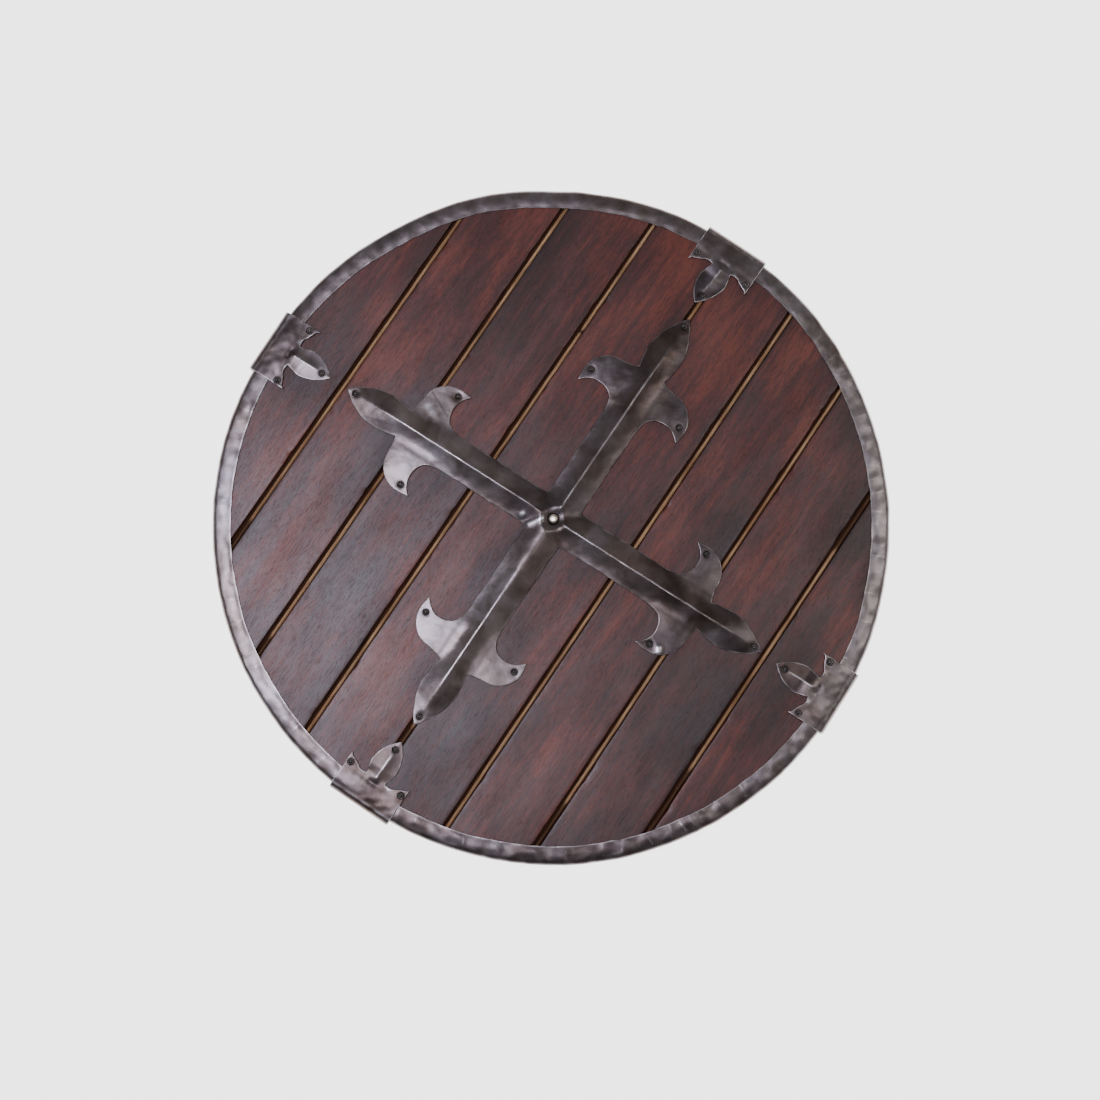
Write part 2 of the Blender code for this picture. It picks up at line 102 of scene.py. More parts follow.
# Steel sheet
SHEET = 0.0012
SHEET_EDGE_ROUND = 0.00035
EDGE_RINGS = (0.00012, SHEET_EDGE_ROUND, 0.0009)
CUT_STEP = 0.0008
RIM_FOLD = 0.0045
RIM_FRONT_WIDTH = 0.0168
RIM_BACK_WIDTH = 0.0150
RIM_LIP_MIDDLE = 0.008

# Clips: places on their flat pattern count inwards from the end of the front fold
CLIP_HALF_WIDTH = 0.0306
CLIP_BACK_DEPTH = 0.0200
CLIP_FOLD = 0.0048
CLIP_WALL = CLIP_OUTSIDE - SHEET
CLIP_LOW = SHEET
CLIP_HIGH = RIM_TOP + SLIDE_GAP
CLIP_SIDE = CLIP_HIGH - CLIP_LOW - 2 * CLIP_FOLD
CLIP_PLATE = 0.0290 - CLIP_FOLD - SHEET
CLIP_HORN = 0.0375 - CLIP_FOLD - SHEET
CLIP_TIP = 0.0675 - CLIP_FOLD - SHEET
HORN_NAIL = (0.0276 - CLIP_FOLD, 0.0266)
LEAF_NAIL = CLIP_TIP - 0.0086

# Cross
CROSS_SKEW = radians(1.3)
ARM_LENGTH = 0.2195
ARM_HALF_WIDTH = 0.0174
NECK = 0.1585
NECK_HALF_WIDTH = 0.0134
CORNER_FILLET = 0.0035
LOBE_MIDDLE = (0.139, 0.022)
RIDGE_HEIGHT = 0.0070
CREST_ROUND = 0.0005
FOOT_ROUND = 0.0007
LOBE_ROOT_ROUND = 0.0016
DISH_FLAT = 0.0040
DISH_EDGE = 0.0135
DISH_HEIGHT = 0.00418

# Nails and stud: head's radius and height, and the radius of the dark ring round it
NAIL_HEAD = (0.0031, 0.0022)
NAIL_RING = 0.0032
STUD_HEAD = (0.0054, 0.0034)
STUD_RING = 0.0056

directions = {"right": CROSS_SKEW, "top": pi / 2, "left": pi + CROSS_SKEW, "bottom": 3 * pi / 2}


class Value:
    """A socket's output; arithmetic on it adds Math nodes."""

    def __init__(self, paint, socket):
        self.paint = paint
        self.socket = socket

    def maths(self, operation, *others):
        inputs = dict(enumerate((self, *others)))
        return self.paint.add("ShaderNodeMath", {"operation": operation}, inputs)

    def __add__(self, other):
        return self.maths("ADD", other)

    __radd__ = __add__

    def __mul__(self, other):
        return self.maths("MULTIPLY", other)

    __rmul__ = __mul__

    def __sub__(self, other):
        return self.maths("SUBTRACT", other)

    def __rsub__(self, other):
        return self.paint.add("ShaderNodeMath", {"operation": "SUBTRACT"}, {0: other, 1: self})

    def __truediv__(self, other):
        return self.maths("DIVIDE", other)

    def clipped(self):
        return self.maths("MINIMUM", 1).maths("MAXIMUM", 0)

    def between(self, low, high):
        """0 below low, 1 above high and straight between."""
        return ((self - low) / (high - low)).clipped()


class Nodes:
    """A node tree that is built in expressions."""

    def __init__(self, tree):
        self.tree = tree

    def add(self, kind, settings=None, inputs=None, output=0):
        """A node, its settings first and then what its sockets take; gives one of its outputs."""
        node = self.tree.nodes.new(kind)
        for name, value in (settings or {}).items():
            if name == "stops":
                ramp = node.color_ramp.elements
                while len(ramp) < len(value):
                    ramp.new(0.5)
                for stop, (place, colour) in zip(ramp, value):
                    stop.position = place
                    stop.color = (*colour, 1)
            else:
                setattr(node, name, value)
        for name, value in (inputs or {}).items():
            self.feed(node.inputs[name], value)
        return Value(self, node.outputs[output])

    def feed(self, socket, value):
        if isinstance(value, Value):
            self.tree.links.new(value.socket, socket)
        elif isinstance(value, tuple) and len(value) < len(socket.default_value):
            socket.default_value = (*value, 1)
        else:
            socket.default_value = value

    def ramp(self, factor, *stops):
        return self.add("ShaderNodeValToRGB", {"stops": stops}, {"Fac": factor})


class Paint(Nodes):
    """A material and its nodes."""

    def __init__(self, name, roughness=0.5, metallic=0.0):
        self.material = bpy.data.materials.new(name)
        self.material.use_nodes = True
        super().__init__(self.material.node_tree)
        self.shader = self.tree.nodes["Principled BSDF"]
        self.set(Roughness=roughness, Metallic=metallic)

    def set(self, **inputs):
        """Sets or links the shader's own sockets, with _ for a space in a name."""
        for name, value in inputs.items():
            self.feed(self.shader.inputs[name.replace("_", " ")], value)

    def place(self):
        return self.add("ShaderNodeTexCoord", output="Object")

    def scaled(self, vector, scale):
        return self.add("ShaderNodeVectorMath", {"operation": "MULTIPLY"}, {0: vector, 1: scale})

    def moved(self, vector, by):
        return self.add("ShaderNodeVectorMath", {"operation": "ADD"}, {0: vector, 1: by})

    def noise(self, vector, scale, detail=2.0, roughness=0.5, distortion=0.0):
        return self.add("ShaderNodeTexNoise", None, {
            "Vector": vector, "Scale": scale, "Detail": detail, "Roughness": roughness,
            "Distortion": distortion})

    def attribute(self, name):
        return self.add("ShaderNodeAttribute", {"attribute_name": name}, output="Fac")

    def mix(self, factor, a, b):
        """Colour a where factor is 0 and colour b where it is 1."""
        return self.add("ShaderNodeMix", {"data_type": "RGBA"}, {0: factor, 6: a, 7: b}, output=2)

    def tinted(self, colour, factor, tint):
        """The colour multiplied by the tint where factor is 1."""
        settings = {"data_type": "RGBA", "blend_type": "MULTIPLY"}
        return self.add("ShaderNodeMix", settings, {0: factor, 6: colour, 7: tint}, output=2)

    def bump(self, height, distance, strength=1.0):
        bump = self.add("ShaderNodeBump", None, {"Height": height, "Distance": distance, "Strength": strength})
        self.set(Normal=bump)


def wood_place(paint):
    """The place in the wood, shifted from plank to plank."""
    shift = paint.attribute("shift")
    offset = paint.add("ShaderNodeCombineXYZ", None, {0: shift * 0.3, 1: shift * 1.7, 2: shift})
    return paint.moved(paint.place(), offset)


def stained_wood():
    """Red-brown stain under a thin satin varnish, with open grain along Y."""
    paint = Paint("stained wood")
    place = wood_place(paint)
    broad = paint.noise(paint.scaled(place, (1, 0.45, 1)), 17, detail=3, roughness=0.55)
    bands = paint.noise(paint.scaled(place, (1, 0.09, 1)), 150, detail=5, roughness=0.66, distortion=0.35)
    streaks = paint.noise(paint.scaled(place, (1, 0.045, 1)), 620, detail=4, roughness=0.65, distortion=0.4)
    pores = paint.noise(paint.scaled(place, (1, 0.11, 1)), 1500, detail=2, roughness=0.6)
    specks = paint.noise(paint.scaled(place, (1, 0.35, 1)), 420, detail=3, roughness=0.7)
    haze = paint.noise(paint.scaled(place, (1, 0.3, 1)), 34, detail=4, roughness=0.65)
    tone = broad * 0.85 + bands * 0.52 + streaks * 0.30 + specks * 0.34 - 0.50 + paint.attribute("tone")
    stain = paint.ramp(tone,
                       (0.30, (0.034, 0.012, 0.011)), (0.44, (0.070, 0.020, 0.016)),
                       (0.56, (0.125, 0.030, 0.022)), (0.72, (0.240, 0.056, 0.033)))
    pore = pores.between(0.52, 0.72)
    stain = paint.tinted(stain, pore * 0.65, (0.35, 0.30, 0.32))
    # Darker on the joint walls and their eased corners: stain and painted shade of the deep joints
    colour = paint.tinted(stain, paint.attribute("grime"), (0.20, 0.14, 0.12))
    paint.set(Base_Color=colour, Roughness=0.38 + bands * 0.16 + pore * 0.15)
    paint.set(Coat_Weight=(haze.between(0.28, 0.64) * 0.60 + 0.26) * (1.36 - pore * 0.3 - specks * 0.9))
    paint.set(Coat_Roughness=0.34, Coat_IOR=1.6)
    paint.bump(streaks * 0.6 + specks * 0.3 + bands * 0.3 - pore * 0.5, 0.00024, 0.6)
    return paint.material


def joint_wood():
    """The tongues' wood: bare and tan on the bead, and nearly black beside it, stain and painted shade of the
    deep joint.
    """
    paint = Paint("joint wood", roughness=0.8)
    place = wood_place(paint)
    fibres = paint.noise(paint.scaled(place, (1, 0.03, 1)), 1900, detail=2)
    patches = paint.noise(paint.scaled(place, (1, 0.25, 1)), 60, detail=3)
    tan = paint.ramp(fibres, (0.35, (0.42, 0.225, 0.105)), (0.65, (0.86, 0.56, 0.31)))
    tan = paint.tinted(tan, patches.between(0.45, 0.65) * 0.6, (0.50, 0.38, 0.30))
    # Beside the bead: stain and painted shade of the deep joint
    dark = paint.ramp(fibres, (0.35, (0.030, 0.011, 0.006)), (0.65, (0.085, 0.036, 0.018)))
    paint.set(Base_Color=paint.mix(paint.attribute("bare"), dark, tan), Specular_IOR_Level=0.12)
    paint.bump(fibres, 0.0002, 0.4)
    return paint.material


def burnished_steel():
    """Hand-worked sheet: oil-dark and a little brown, bright where it was rubbed and where highlights are
    painted, and dark where shade is painted.
    """
    paint = Paint("burnished steel", metallic=1.0)
    place = paint.place()
    blotch = paint.noise(place, 46, detail=5, roughness=0.62, distortion=0.5)
    cloud = paint.noise(place, 13, detail=2)
    heat = paint.noise(paint.moved(place, (3.1, 0, 0)), 24, detail=3)
    scratch = paint.noise(paint.scaled(place, (1, 0.25, 1)), 900, detail=3, roughness=0.65)
    wear, grime, patina = (paint.attribute(name) for name in ("wear", "grime", "patina"))
    colour = paint.ramp(blotch,
                        (0.34, (0.225, 0.190, 0.180)), (0.47, (0.290, 0.255, 0.252)),
                        (0.58, (0.340, 0.300, 0.312)), (0.70, (0.395, 0.352, 0.374)))
    colour = paint.tinted(colour, cloud.between(0.42, 0.62) * 0.5, (0.80, 0.68, 0.58))
    colour = paint.tinted(colour, heat.between(0.52, 0.68) * patina, (0.92, 0.80, 0.70))
    # Patina, with painted shade on some arms of the cross and on sides of the rim
    colour = paint.tinted(colour, patina, (0.38, 0.36, 0.36))
    # Bright bare steel where rubbed, and painted highlights on crests, edges and folds
    colour = paint.mix(wear * 0.9, colour, (0.84, 0.81, 0.82))
    # Dark where grime and painted shade lie: round the nails, along the arms' feet, in creases and on the rim's
    # inside
    colour = paint.tinted(colour, grime, (0.16, 0.14, 0.13))
    paint.set(Base_Color=colour, Roughness=0.22 + blotch * 0.12 + scratch * 0.10 - wear * 0.05 + grime * 0.25)
    fine = paint.noise(place, 260, detail=3, roughness=0.5)
    paint.bump(fine * 0.5 + scratch * 0.2, 0.00016, 0.4)
    return paint.material


def nail_steel():
    """Dark dome heads with a soft shine."""
    paint = Paint("nail steel", roughness=0.34, metallic=1.0)
    place = paint.place()
    blotch = paint.noise(place, 420, detail=3)
    colour = paint.ramp(blotch, (0.35, (0.055, 0.050, 0.048)), (0.65, (0.160, 0.148, 0.142)))
    paint.set(Base_Color=colour, Roughness=0.16 + blotch * 0.2)
    paint.bump(blotch, 0.0001, 0.4)
    return paint.material


def stud_steel():
    """The middle stud, rubbed bright and a little brassy, and painted dark at its foot as shade."""
    paint = Paint("stud steel", metallic=1.0)
    blotch = paint.noise(paint.place(), 160, detail=2)
    colour = paint.ramp(blotch, (0.35, (0.74, 0.66, 0.54)), (0.65, (0.90, 0.82, 0.70)))
    # Painted shade, dark towards the head's edge
    colour = paint.tinted(colour, paint.attribute("grime"), (0.06, 0.055, 0.05))
    paint.set(Base_Color=colour, Roughness=0.22 + blotch * 0.12)
    paint.bump(blotch, 0.0001, 0.15)
    return paint.material


def ripples(seed, length, count=16):
    """A smooth random field over a plane, mostly within -1 to 1; its waves are about length long."""
    rng = np.random.default_rng(seed)
    angles = rng.uniform(0, 2 * pi, count)
    waves = 2 * pi / (length * rng.uniform(0.7, 1.6, count))
    phases = rng.uniform(0, 2 * pi, count)

    def field(x, y):
        total = np.zeros(np.broadcast(x, y).shape)
        for angle, wave, phase in zip(angles, waves, phases):
            total += np.cos((x * cos(angle) + y * sin(angle)) * wave + phase)
        return total / np.sqrt(2 * count)

    return field


def smooth_step(x, low, high):
    t = np.clip((x - low) / (high - low), 0, 1)
    return t * t * (3 - 2 * t)


def streak(x, y, start, end, radius):
    """1 on a line between two places, fading to nothing about two radii away."""
    run = np.array(end) - start
    along = np.clip(((x - start[0]) * run[0] + (y - start[1]) * run[1]) / (run @ run), 0, 1)
    off_x, off_y = x - start[0] - along * run[0], y - start[1] - along * run[1]
    return np.exp(-(off_x ** 2 + off_y ** 2) / radius ** 2)


def positive(x, rounding):
    """x above 0 and nothing below, with a rounded corner."""
    return (x + np.sqrt(x * x + rounding * rounding)) / 2


def spline(points, step):
    """A smooth line through the points, cut into steps."""
    points = np.array(points, float)
    ends = np.vstack([2 * points[0] - points[1], points, 2 * points[-1] - points[-2]])
    line = [points[0]]
    for i in range(len(points) - 1):
        a, b, c, d = ends[i:i + 4]
        count = max(2, int(np.linalg.norm(c - b) / step) + 1)
        for t in np.linspace(0, 1, count + 1)[1:]:
            curve = 2 * b + (c - a) * t + (2 * a - 5 * b + 4 * c - d) * t * t + (3 * b - a - 3 * c + d) * t ** 3
            line.append(curve / 2)
    return np.array(line)


def turned(points, angle):
    points = np.asarray(points)
    turn = np.array([[cos(angle), sin(angle)], [-sin(angle), cos(angle)]])
    return points @ turn


def mirrored(points):
    return points[::-1] * (1, -1)


def joined_runs(*runs):
    """Runs of points end to end, without the points that two runs share."""
    out = [runs[0]]
    for run in runs[1:]:
        same = np.linalg.norm(run[0] - out[-1][-1]) < 1e-6
        out.append(run[1:] if same else run)
    return np.vstack(out)


def nearest(points, targets):
    """Distance from each point to the nearest target."""
    tree = KDTree(len(targets))
    for i, (x, y) in enumerate(targets):
        tree.insert((x, y, 0), i)
    tree.balance()
    return np.array([tree.find((x, y, 0))[2] for x, y in points])


def filled(outline, inner):
    """Triangles that fill an outline, using the inner points too: (points, triangles, outline's indices)."""
    count = len(outline)
    points = [Vector(p) for p in np.vstack([outline, inner])]
    ring = [(i, (i + 1) % count) for i in range(count)]
    places, _, faces, sources, _, _ = delaunay_2d_cdt(points, ring, [], 1, 1e-9)
    found = {source: i for i, group in enumerate(sources) for source in group}
    return np.array([p[:2] for p in places]), faces, [found[i] for i in range(count)]


def ring_inside(outline, depth):
    """Points at a depth inside an outline that runs anticlockwise."""
    along = np.roll(outline, -1, 0) - np.roll(outline, 1, 0)
    along /= np.linalg.norm(along, axis=1)[:, None]
    points = outline + np.column_stack([-along[:, 1], along[:, 0]]) * depth
    return points[nearest(points, outline) > depth * 0.93]


def hexagon_grid(outline, spacing, keep):
    """Evenly spaced points over an outline's box, or only where keep(x, y) says."""
    low, high = outline.min(0), outline.max(0)
    rows = np.arange(low[1], high[1], spacing * 0.866)
    columns = np.arange(low[0], high[0], spacing)
    y, x = np.meshgrid(rows, columns, indexing="ij")
    x = x + (np.arange(len(rows)) % 2)[:, None] * spacing / 2
    points = np.column_stack([x.ravel(), y.ravel()])
    if keep is not None:
        points = points[keep(points[:, 0], points[:, 1])]
    return points


def add_piece(name, verts, faces, material, attributes=None):
    mesh = bpy.data.meshes.new(name)
    mesh.from_pydata([tuple(v) for v in verts], [], [tuple(f) for f in faces])
    for key, values in (attributes or {}).items():
        layer = mesh.attributes.new(key, "FLOAT", "POINT")
        layer.data.foreach_set("value", np.asarray(values, np.float32))
    mesh.materials.append(material)
    mesh.shade_smooth()
    piece = bpy.data.objects.new(name, mesh)
    bpy.context.scene.collection.objects.link(piece)
    return piece


def settle(piece, slot, *nodes):
    """The piece rides on the shield in place of these nodes. slot is not used."""
    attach(piece, "root")
    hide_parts(*nodes)


def sheet_piece(name, outline, spacing, surface, wear, grime, patina, material, keep=None):
    """A sheet cut to an anticlockwise outline. surface(u, v, depth) bends it, depth below its face."""
    rings = [ring_inside(outline, depth) for depth in EDGE_RINGS]
    grid = hexagon_grid(outline, spacing, keep)
    grid = grid[nearest(grid, outline) > EDGE_RINGS[-1] + spacing * 0.4]
    flat, faces, ring = filled(outline, np.vstack(rings + [grid]))
    depth_in = nearest(flat, outline)
    short = np.clip(SHEET_EDGE_ROUND - depth_in, 0, None)
    sunk = SHEET_EDGE_ROUND - np.sqrt(SHEET_EDGE_ROUND ** 2 - short ** 2)
    face = surface(flat[:, 0], flat[:, 1], sunk)
    coarse = hexagon_grid(outline, spacing * 3, keep)
    coarse = coarse[nearest(coarse, outline) > spacing]
    under, under_faces, under_ring = filled(outline, coarse)
    back = surface(under[:, 0], under[:, 1], np.full(len(under), SHEET))
    first = len(face)
    triangles = [tuple(f) for f in faces]
    triangles += [tuple(first + i for i in reversed(f)) for f in under_faces]
    for i in range(len(ring)):
        j = (i + 1) % len(ring)
        triangles.append((first + under_ring[i], first + under_ring[j], ring[j], ring[i]))
    bright = np.concatenate([wear(flat[:, 0], flat[:, 1], depth_in), np.zeros(len(under))])
    dark = np.concatenate([grime(flat[:, 0], flat[:, 1], depth_in), np.full(len(under), 0.5)])
    darkened = np.concatenate([patina(flat[:, 0], flat[:, 1]), np.full(len(under), 0.7)])
    piece = add_piece(name, np.vstack([face, back]), triangles, material,
                      {"wear": bright, "grime": dark, "patina": darkened})
    piece.data.set_sharp_from_angle(angle=radians(50))
    return piece


def arm_edge(hollow, tip, back, full):
    """The left edge of an arm that points along +X: bar, lobe and leaf, as (along, aside).

    hollow, tip and back move those parts of the lobe outwards, and full widens the leaf's end.
    """
    point = (0.1180 + tip, 0.0526)
    neck = (NECK + back * 0.5, NECK_HALF_WIDTH)
    bar = [(0.060, ARM_HALF_WIDTH), (0.090, ARM_HALF_WIDTH), (0.109 + hollow * 0.6, 0.0176),
           (0.1185 + hollow, 0.0200), (0.1240 + hollow, 0.0248), (0.1266 + hollow, 0.0320),
           (0.1262 + hollow, 0.0405), (0.1232 + (hollow + tip) / 2, 0.0470), point]
    lobe = [point, (0.1280 + tip, 0.0538), (0.1365 + (tip + back) / 2, 0.0530), (0.1445 + back, 0.0490),
            (0.1508 + back, 0.0425), (0.1538 + back, 0.0355), (0.1548 + back, 0.0270),
            (0.1562 + back * 0.8, 0.0190), neck]
    leaf = [neck, (0.1680, 0.0156), (0.1780, 0.0168), (0.1880, 0.0159 + full * 0.4),
            (0.1980, 0.0130 + full * 0.8), (0.2075, 0.0084 + full * 0.8), (0.2150, 0.0040 + full * 0.4),
            (ARM_LENGTH, 0.0005)]
    return joined_runs(*(spline(part, CUT_STEP) for part in (bar, lobe, leaf)))


# How far each arm's lobes stray from the pattern, on its left and its right: hollow, tip, back and leaf's end
arm_strays = {
    "right": ((0.0030, 0.0012, 0.0004, 0.0002), (0.0030, 0.0012, 0.0026, 0.0006)),
    "top": ((0.0, 0.0, 0.0, 0.0), (0.0, 0.0, 0.0, 0.0)),
    "left": ((0.0026, 0.0030, 0.0032, 0.0012), (0.0026, 0.0032, 0.0030, 0.0008)),
    "bottom": ((0.0020, 0.0010, -0.0004, 0.0004), (0.0020, 0.0008, 0.0012, 0.0006)),
}


def nail_places(word):
    """Centres of the nails whose names start with the word."""
    places = []
    for name in sorted(frame["nodes"]):
        if name.startswith(word):
            low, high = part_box(name)
            places.append(((low.x + high.x) / 2, (low.y + high.y) / 2))
    return np.array(places)


nail_spots = nail_places("cross_nail") - (CROSS_CENTRE.x, CROSS_CENTRE.y)


def cross_outline():
    """The whole cross round its centre, anticlockwise."""
    wobble = ripples(11, 0.025)
    edges = {name: [arm_edge(*stray)[::-1] for stray in strays] for name, strays in arm_strays.items()}
    names = list(directions)
    runs = []
    for number, (name, angle) in enumerate(directions.items()):
        following = names[(number + 1) % 4]
        left_edge, right_edge = edges[name]
        next_right = mirrored(edges[following][1])
        spread = (directions[following] - angle) % (2 * pi)
        reach = (ARM_HALF_WIDTH + CORNER_FILLET) / sin(spread / 2)
        centre = turned([(reach, 0)], angle + spread / 2)[0]
        angles = np.linspace(angle - pi / 2, angle + spread - 3 * pi / 2, 8)
        fillet = centre + CORNER_FILLET * np.column_stack([np.cos(angles), np.sin(angles)])
        start = spline([turned([left_edge[-1]], angle)[0], fillet[0]], CUT_STEP)
        end = spline([fillet[-1], turned([next_right[0]], angle + spread)[0]], CUT_STEP)
        runs += [turned(mirrored(right_edge), angle), turned(left_edge, angle), start, fillet, end]
    outline = joined_runs(*runs)[:-1]
    x, y = outline[:, 0], outline[:, 1]
    return outline + 0.00022 * np.column_stack([wobble(x, y), wobble(y, x + 1)])


def from_arm(x, y, angle):
    """Place on an arm that points at an angle: along it and to its left."""
    return x * cos(angle) + y * sin(angle), y * cos(angle) - x * sin(angle)


def along_arms(x, y):
    """Place on the skewed axes of the side arms and the long arms."""
    u = x / cos(CROSS_SKEW)
    return u, y - x * tan(CROSS_SKEW)


def tent(across, hollow):
    """A ridge's section, 1 on its crest and 0 where across is 1, with faces that are hollow by a share."""
    return (1 - across) * (1 - hollow * np.minimum(across, 1))


def ridge_roof(offset, distance, blunt):
    """Height of the roof over one pair of arms, below 0 outside it. It turns into a pillow over the leaf."""
    half = np.interp(distance, *leaf_half_width)
    top = np.interp(distance, *crest_height)
    pillow = 0.60 * smooth_step(distance, 0.150, 0.195)
    rounding = CREST_ROUND + 0.0024 * np.exp(-(distance / 0.012) ** 2) + blunt
    across = (np.sqrt(offset ** 2 + rounding ** 2) - rounding) / half
    return top * ((1 - pillow) * tent(across, 0.30) + pillow * (1 - across ** 2))


# Half width of an arm's ridged part and height of its crest, by the distance from the cross's centre
leaf_half_width = ((0, 0.150, 0.1585, 0.168, 0.178, 0.188, 0.198, 0.2075, 0.2150, 0.2195),
                   (0.0174, 0.0174, 0.0152, 0.0158, 0.0169, 0.0161, 0.0134, 0.0089, 0.0048, 0.0024))
crest_height = ((0, 0.160, 0.178, 0.190, 0.200, 0.210, 0.2195),
                (RIDGE_HEIGHT, 0.0068, 0.0054, 0.0039, 0.0024, 0.0011, 0.0004))

# Dents and swellings that the hammer left on the cross: ends of a line, radius, height and brightness, rubbed
# and painted highlight
cross_marks = [
    ((-0.0165, 0.0017), (-0.0135, 0.0017), 0.0060, -0.0009, 0.0),
    ((-0.0160, -0.0160), (-0.0085, -0.0050), 0.0026, 0.0007, 1.20),
    ((-0.0262, -0.0125), (-0.0252, -0.0115), 0.0028, 0.0006, 1.20),
    ((0.0080, -0.0145), (0.0086, -0.0150), 0.0050, -0.0005, 0.0),
    ((-0.0065, 0.0180), (-0.0060, 0.0260), 0.0060, -0.0005, 0.0),
    ((0.0180, 0.0105), (0.0200, 0.0110), 0.0060, -0.0005, 0.0),
    ((-0.1500, 0.0230), (-0.1450, 0.0210), 0.0060, 0.0003, 0.35),
    ((0.1418, -0.0432), (0.1434, -0.0458), 0.0030, 0.0008, 2.0),
]
# Painted shade on the left arm: dark streaks in a crease in one lobe and along the foot of the other
LOBE_CREASE = ((-0.1550, 0.0350), (-0.1310, 0.0240))
LOBE_FOOT = ((-0.1500, -0.0205), (-0.1200, -0.0190))

# How each lobe bulges: (arm, side of the arm) to (height, tilt along the arm, tilt aside)
lobe_bulges = {
    ("left", 1): (0.0016, -0.030, -0.005), ("left", -1): (0.0013, 0.010, 0.035),
    ("bottom", 1): (0.0013, 0.000, -0.005), ("bottom", -1): (0.0016, -0.030, -0.020),
    ("top", 1): (0.0011, 0.010, 0.000), ("top", -1): (0.0011, 0.000, 0.005),
    ("right", 1): (0.0011, 0.010, 0.000), ("right", -1): (0.0013, -0.010, 0.005),
}


def lobe_height(x, y):
    """How high the lobes stand off the board, each a low dome with a tilt."""
    lobes = np.zeros_like(x)
    for (arm, side), (bulge, tilt_along, tilt_aside) in lobe_bulges.items():
        along, left = from_arm(x, y, directions[arm])
        aside = side * left
        on_lobe = smooth_step(aside, 0.004, 0.014) * smooth_step(along, 0.104, 0.120)
        on_lobe = on_lobe * (1 - smooth_step(along, 0.156, 0.166))
        off_along, off_aside = along - LOBE_MIDDLE[0], aside - LOBE_MIDDLE[1]
        dome = (1 - (off_along / 0.024) ** 2) * (1 - (off_aside / 0.036) ** 2)
        tilt = tilt_along * off_along + tilt_aside * off_aside
        lobes = lobes + on_lobe * positive(bulge * dome + tilt, 0.0003)
    return lobes


def cross_height(x, y):
    """Height of the cross's underside above where it touches the board."""
    u, v = along_arms(x, y)
    distance = np.maximum(np.abs(u), np.abs(v))
    from_stud = np.hypot(x, y)
    flattened = 0.0050 * (v < 0) * (1 - smooth_step(-v, 0.025, 0.100))
    side_roof = ridge_roof(np.abs(v), np.abs(u), 0)
    long_roof = ridge_roof(np.abs(u), np.abs(v), flattened)
    blend = 0.0006 + 0.0022 * np.exp(-(from_stud / 0.026) ** 2)
    higher = positive(side_roof - long_roof, blend) + long_roof
    lobes = lobe_height(x, y)
    rooted = smooth_step(distance, 0.108, 0.122) * (1 - smooth_step(distance, 0.156, 0.166))
    height = positive(higher - lobes, FOOT_ROUND + LOBE_ROOT_ROUND * rooted) + lobes
    dish = 1 - smooth_step(from_stud, DISH_FLAT, DISH_EDGE)
    height = height * (1 - dish) + DISH_HEIGHT * dish
    for start, end, radius, size, _ in cross_marks:
        height = height + size * streak(x, y, start, end, radius)
    nailed = np.exp(-(nearest(np.column_stack([x, y]), nail_spots) / 0.0034) ** 2)
    return height * (1 - 0.85 * nailed)


long_wave = ripples(3, 0.034)
short_wave = ripples(4, 0.011)
hammer_wave = ripples(5, 0.0055)


def cross_surface(x, y, depth):
    """Bends the cross: rounded ridges, dents and lifted lobes."""
    relief = 0.00020 * long_wave(x, y) + 0.00008 * short_wave(x, y) + 0.000025 * hammer_wave(x, y)
    z = CROSS_BOTTOM + SHEET - depth + np.maximum(cross_height(x, y) + relief, 0.0)
    return np.column_stack([x + CROSS_CENTRE.x, y + CROSS_CENTRE.y, z])


# Where each arm's crest is painted bright, rubbed steel and painted highlight: (distance, brightness) along it
crest_shine = {
    "right": ((0.008, 0.014, 0.060, 0.120, 0.175, 0.195), (0.0, 0.9, 0.5, 0.6, 0.4, 0.0)),
    "top": ((0.006, 0.012, 0.040, 0.075, 0.130, 0.180, 0.195), (0.0, 0.7, 0.6, 0.3, 0.9, 0.3, 0.0)),
    "left": ((0.024, 0.034, 0.060, 0.100, 0.165, 0.185), (0.0, 0.4, 0.25, 0.6, 0.7, 0.0)),
    "bottom": ((0.012, 0.050, 0.075, 0.110, 0.165, 0.190), (0.0, 0.12, 0.5, 1.0, 0.8, 0.0)),
}


def cross_wear_and_highlight(x, y, depth_in):
    """Rubbed bright, with painted highlights, on the ridges, along the cut edges and on the boss's high spots.
    """
    u, v = along_arms(x, y)
    shine = np.zeros_like(x)
    for name, (places, levels) in crest_shine.items():
        along = {"right": u, "top": v, "left": -u, "bottom": -v}[name]
        offset = v if name in ("right", "left") else u
        rubbed_and_highlight = np.exp(-(offset / 0.00045) ** 2) * np.interp(along, places, levels, 0, 0)
        shine = shine + rubbed_and_highlight * np.clip(0.8 + 0.5 * short_wave(x + 2, y), 0.3, 1.2)
    edge = np.exp(-(depth_in / 0.00045) ** 2) * (0.42 + 0.5 * short_wave(x + 1, y))
    for start, end, radius, _, rubbed_and_highlight in cross_marks:
        shine = shine + rubbed_and_highlight * streak(x, y, start, end, radius * 0.55)
    return np.clip(shine + np.clip(edge, 0, 1), 0, 1)


# How dark each arm is, near the boss and at its lobes: patina, and painted shade on the arms away from the left
# light
arm_darkness = {"right": (0.42, 0.85), "top": (0.50, 0.78), "left": (0.62, 0.10), "bottom": (0.28, 0.0)}


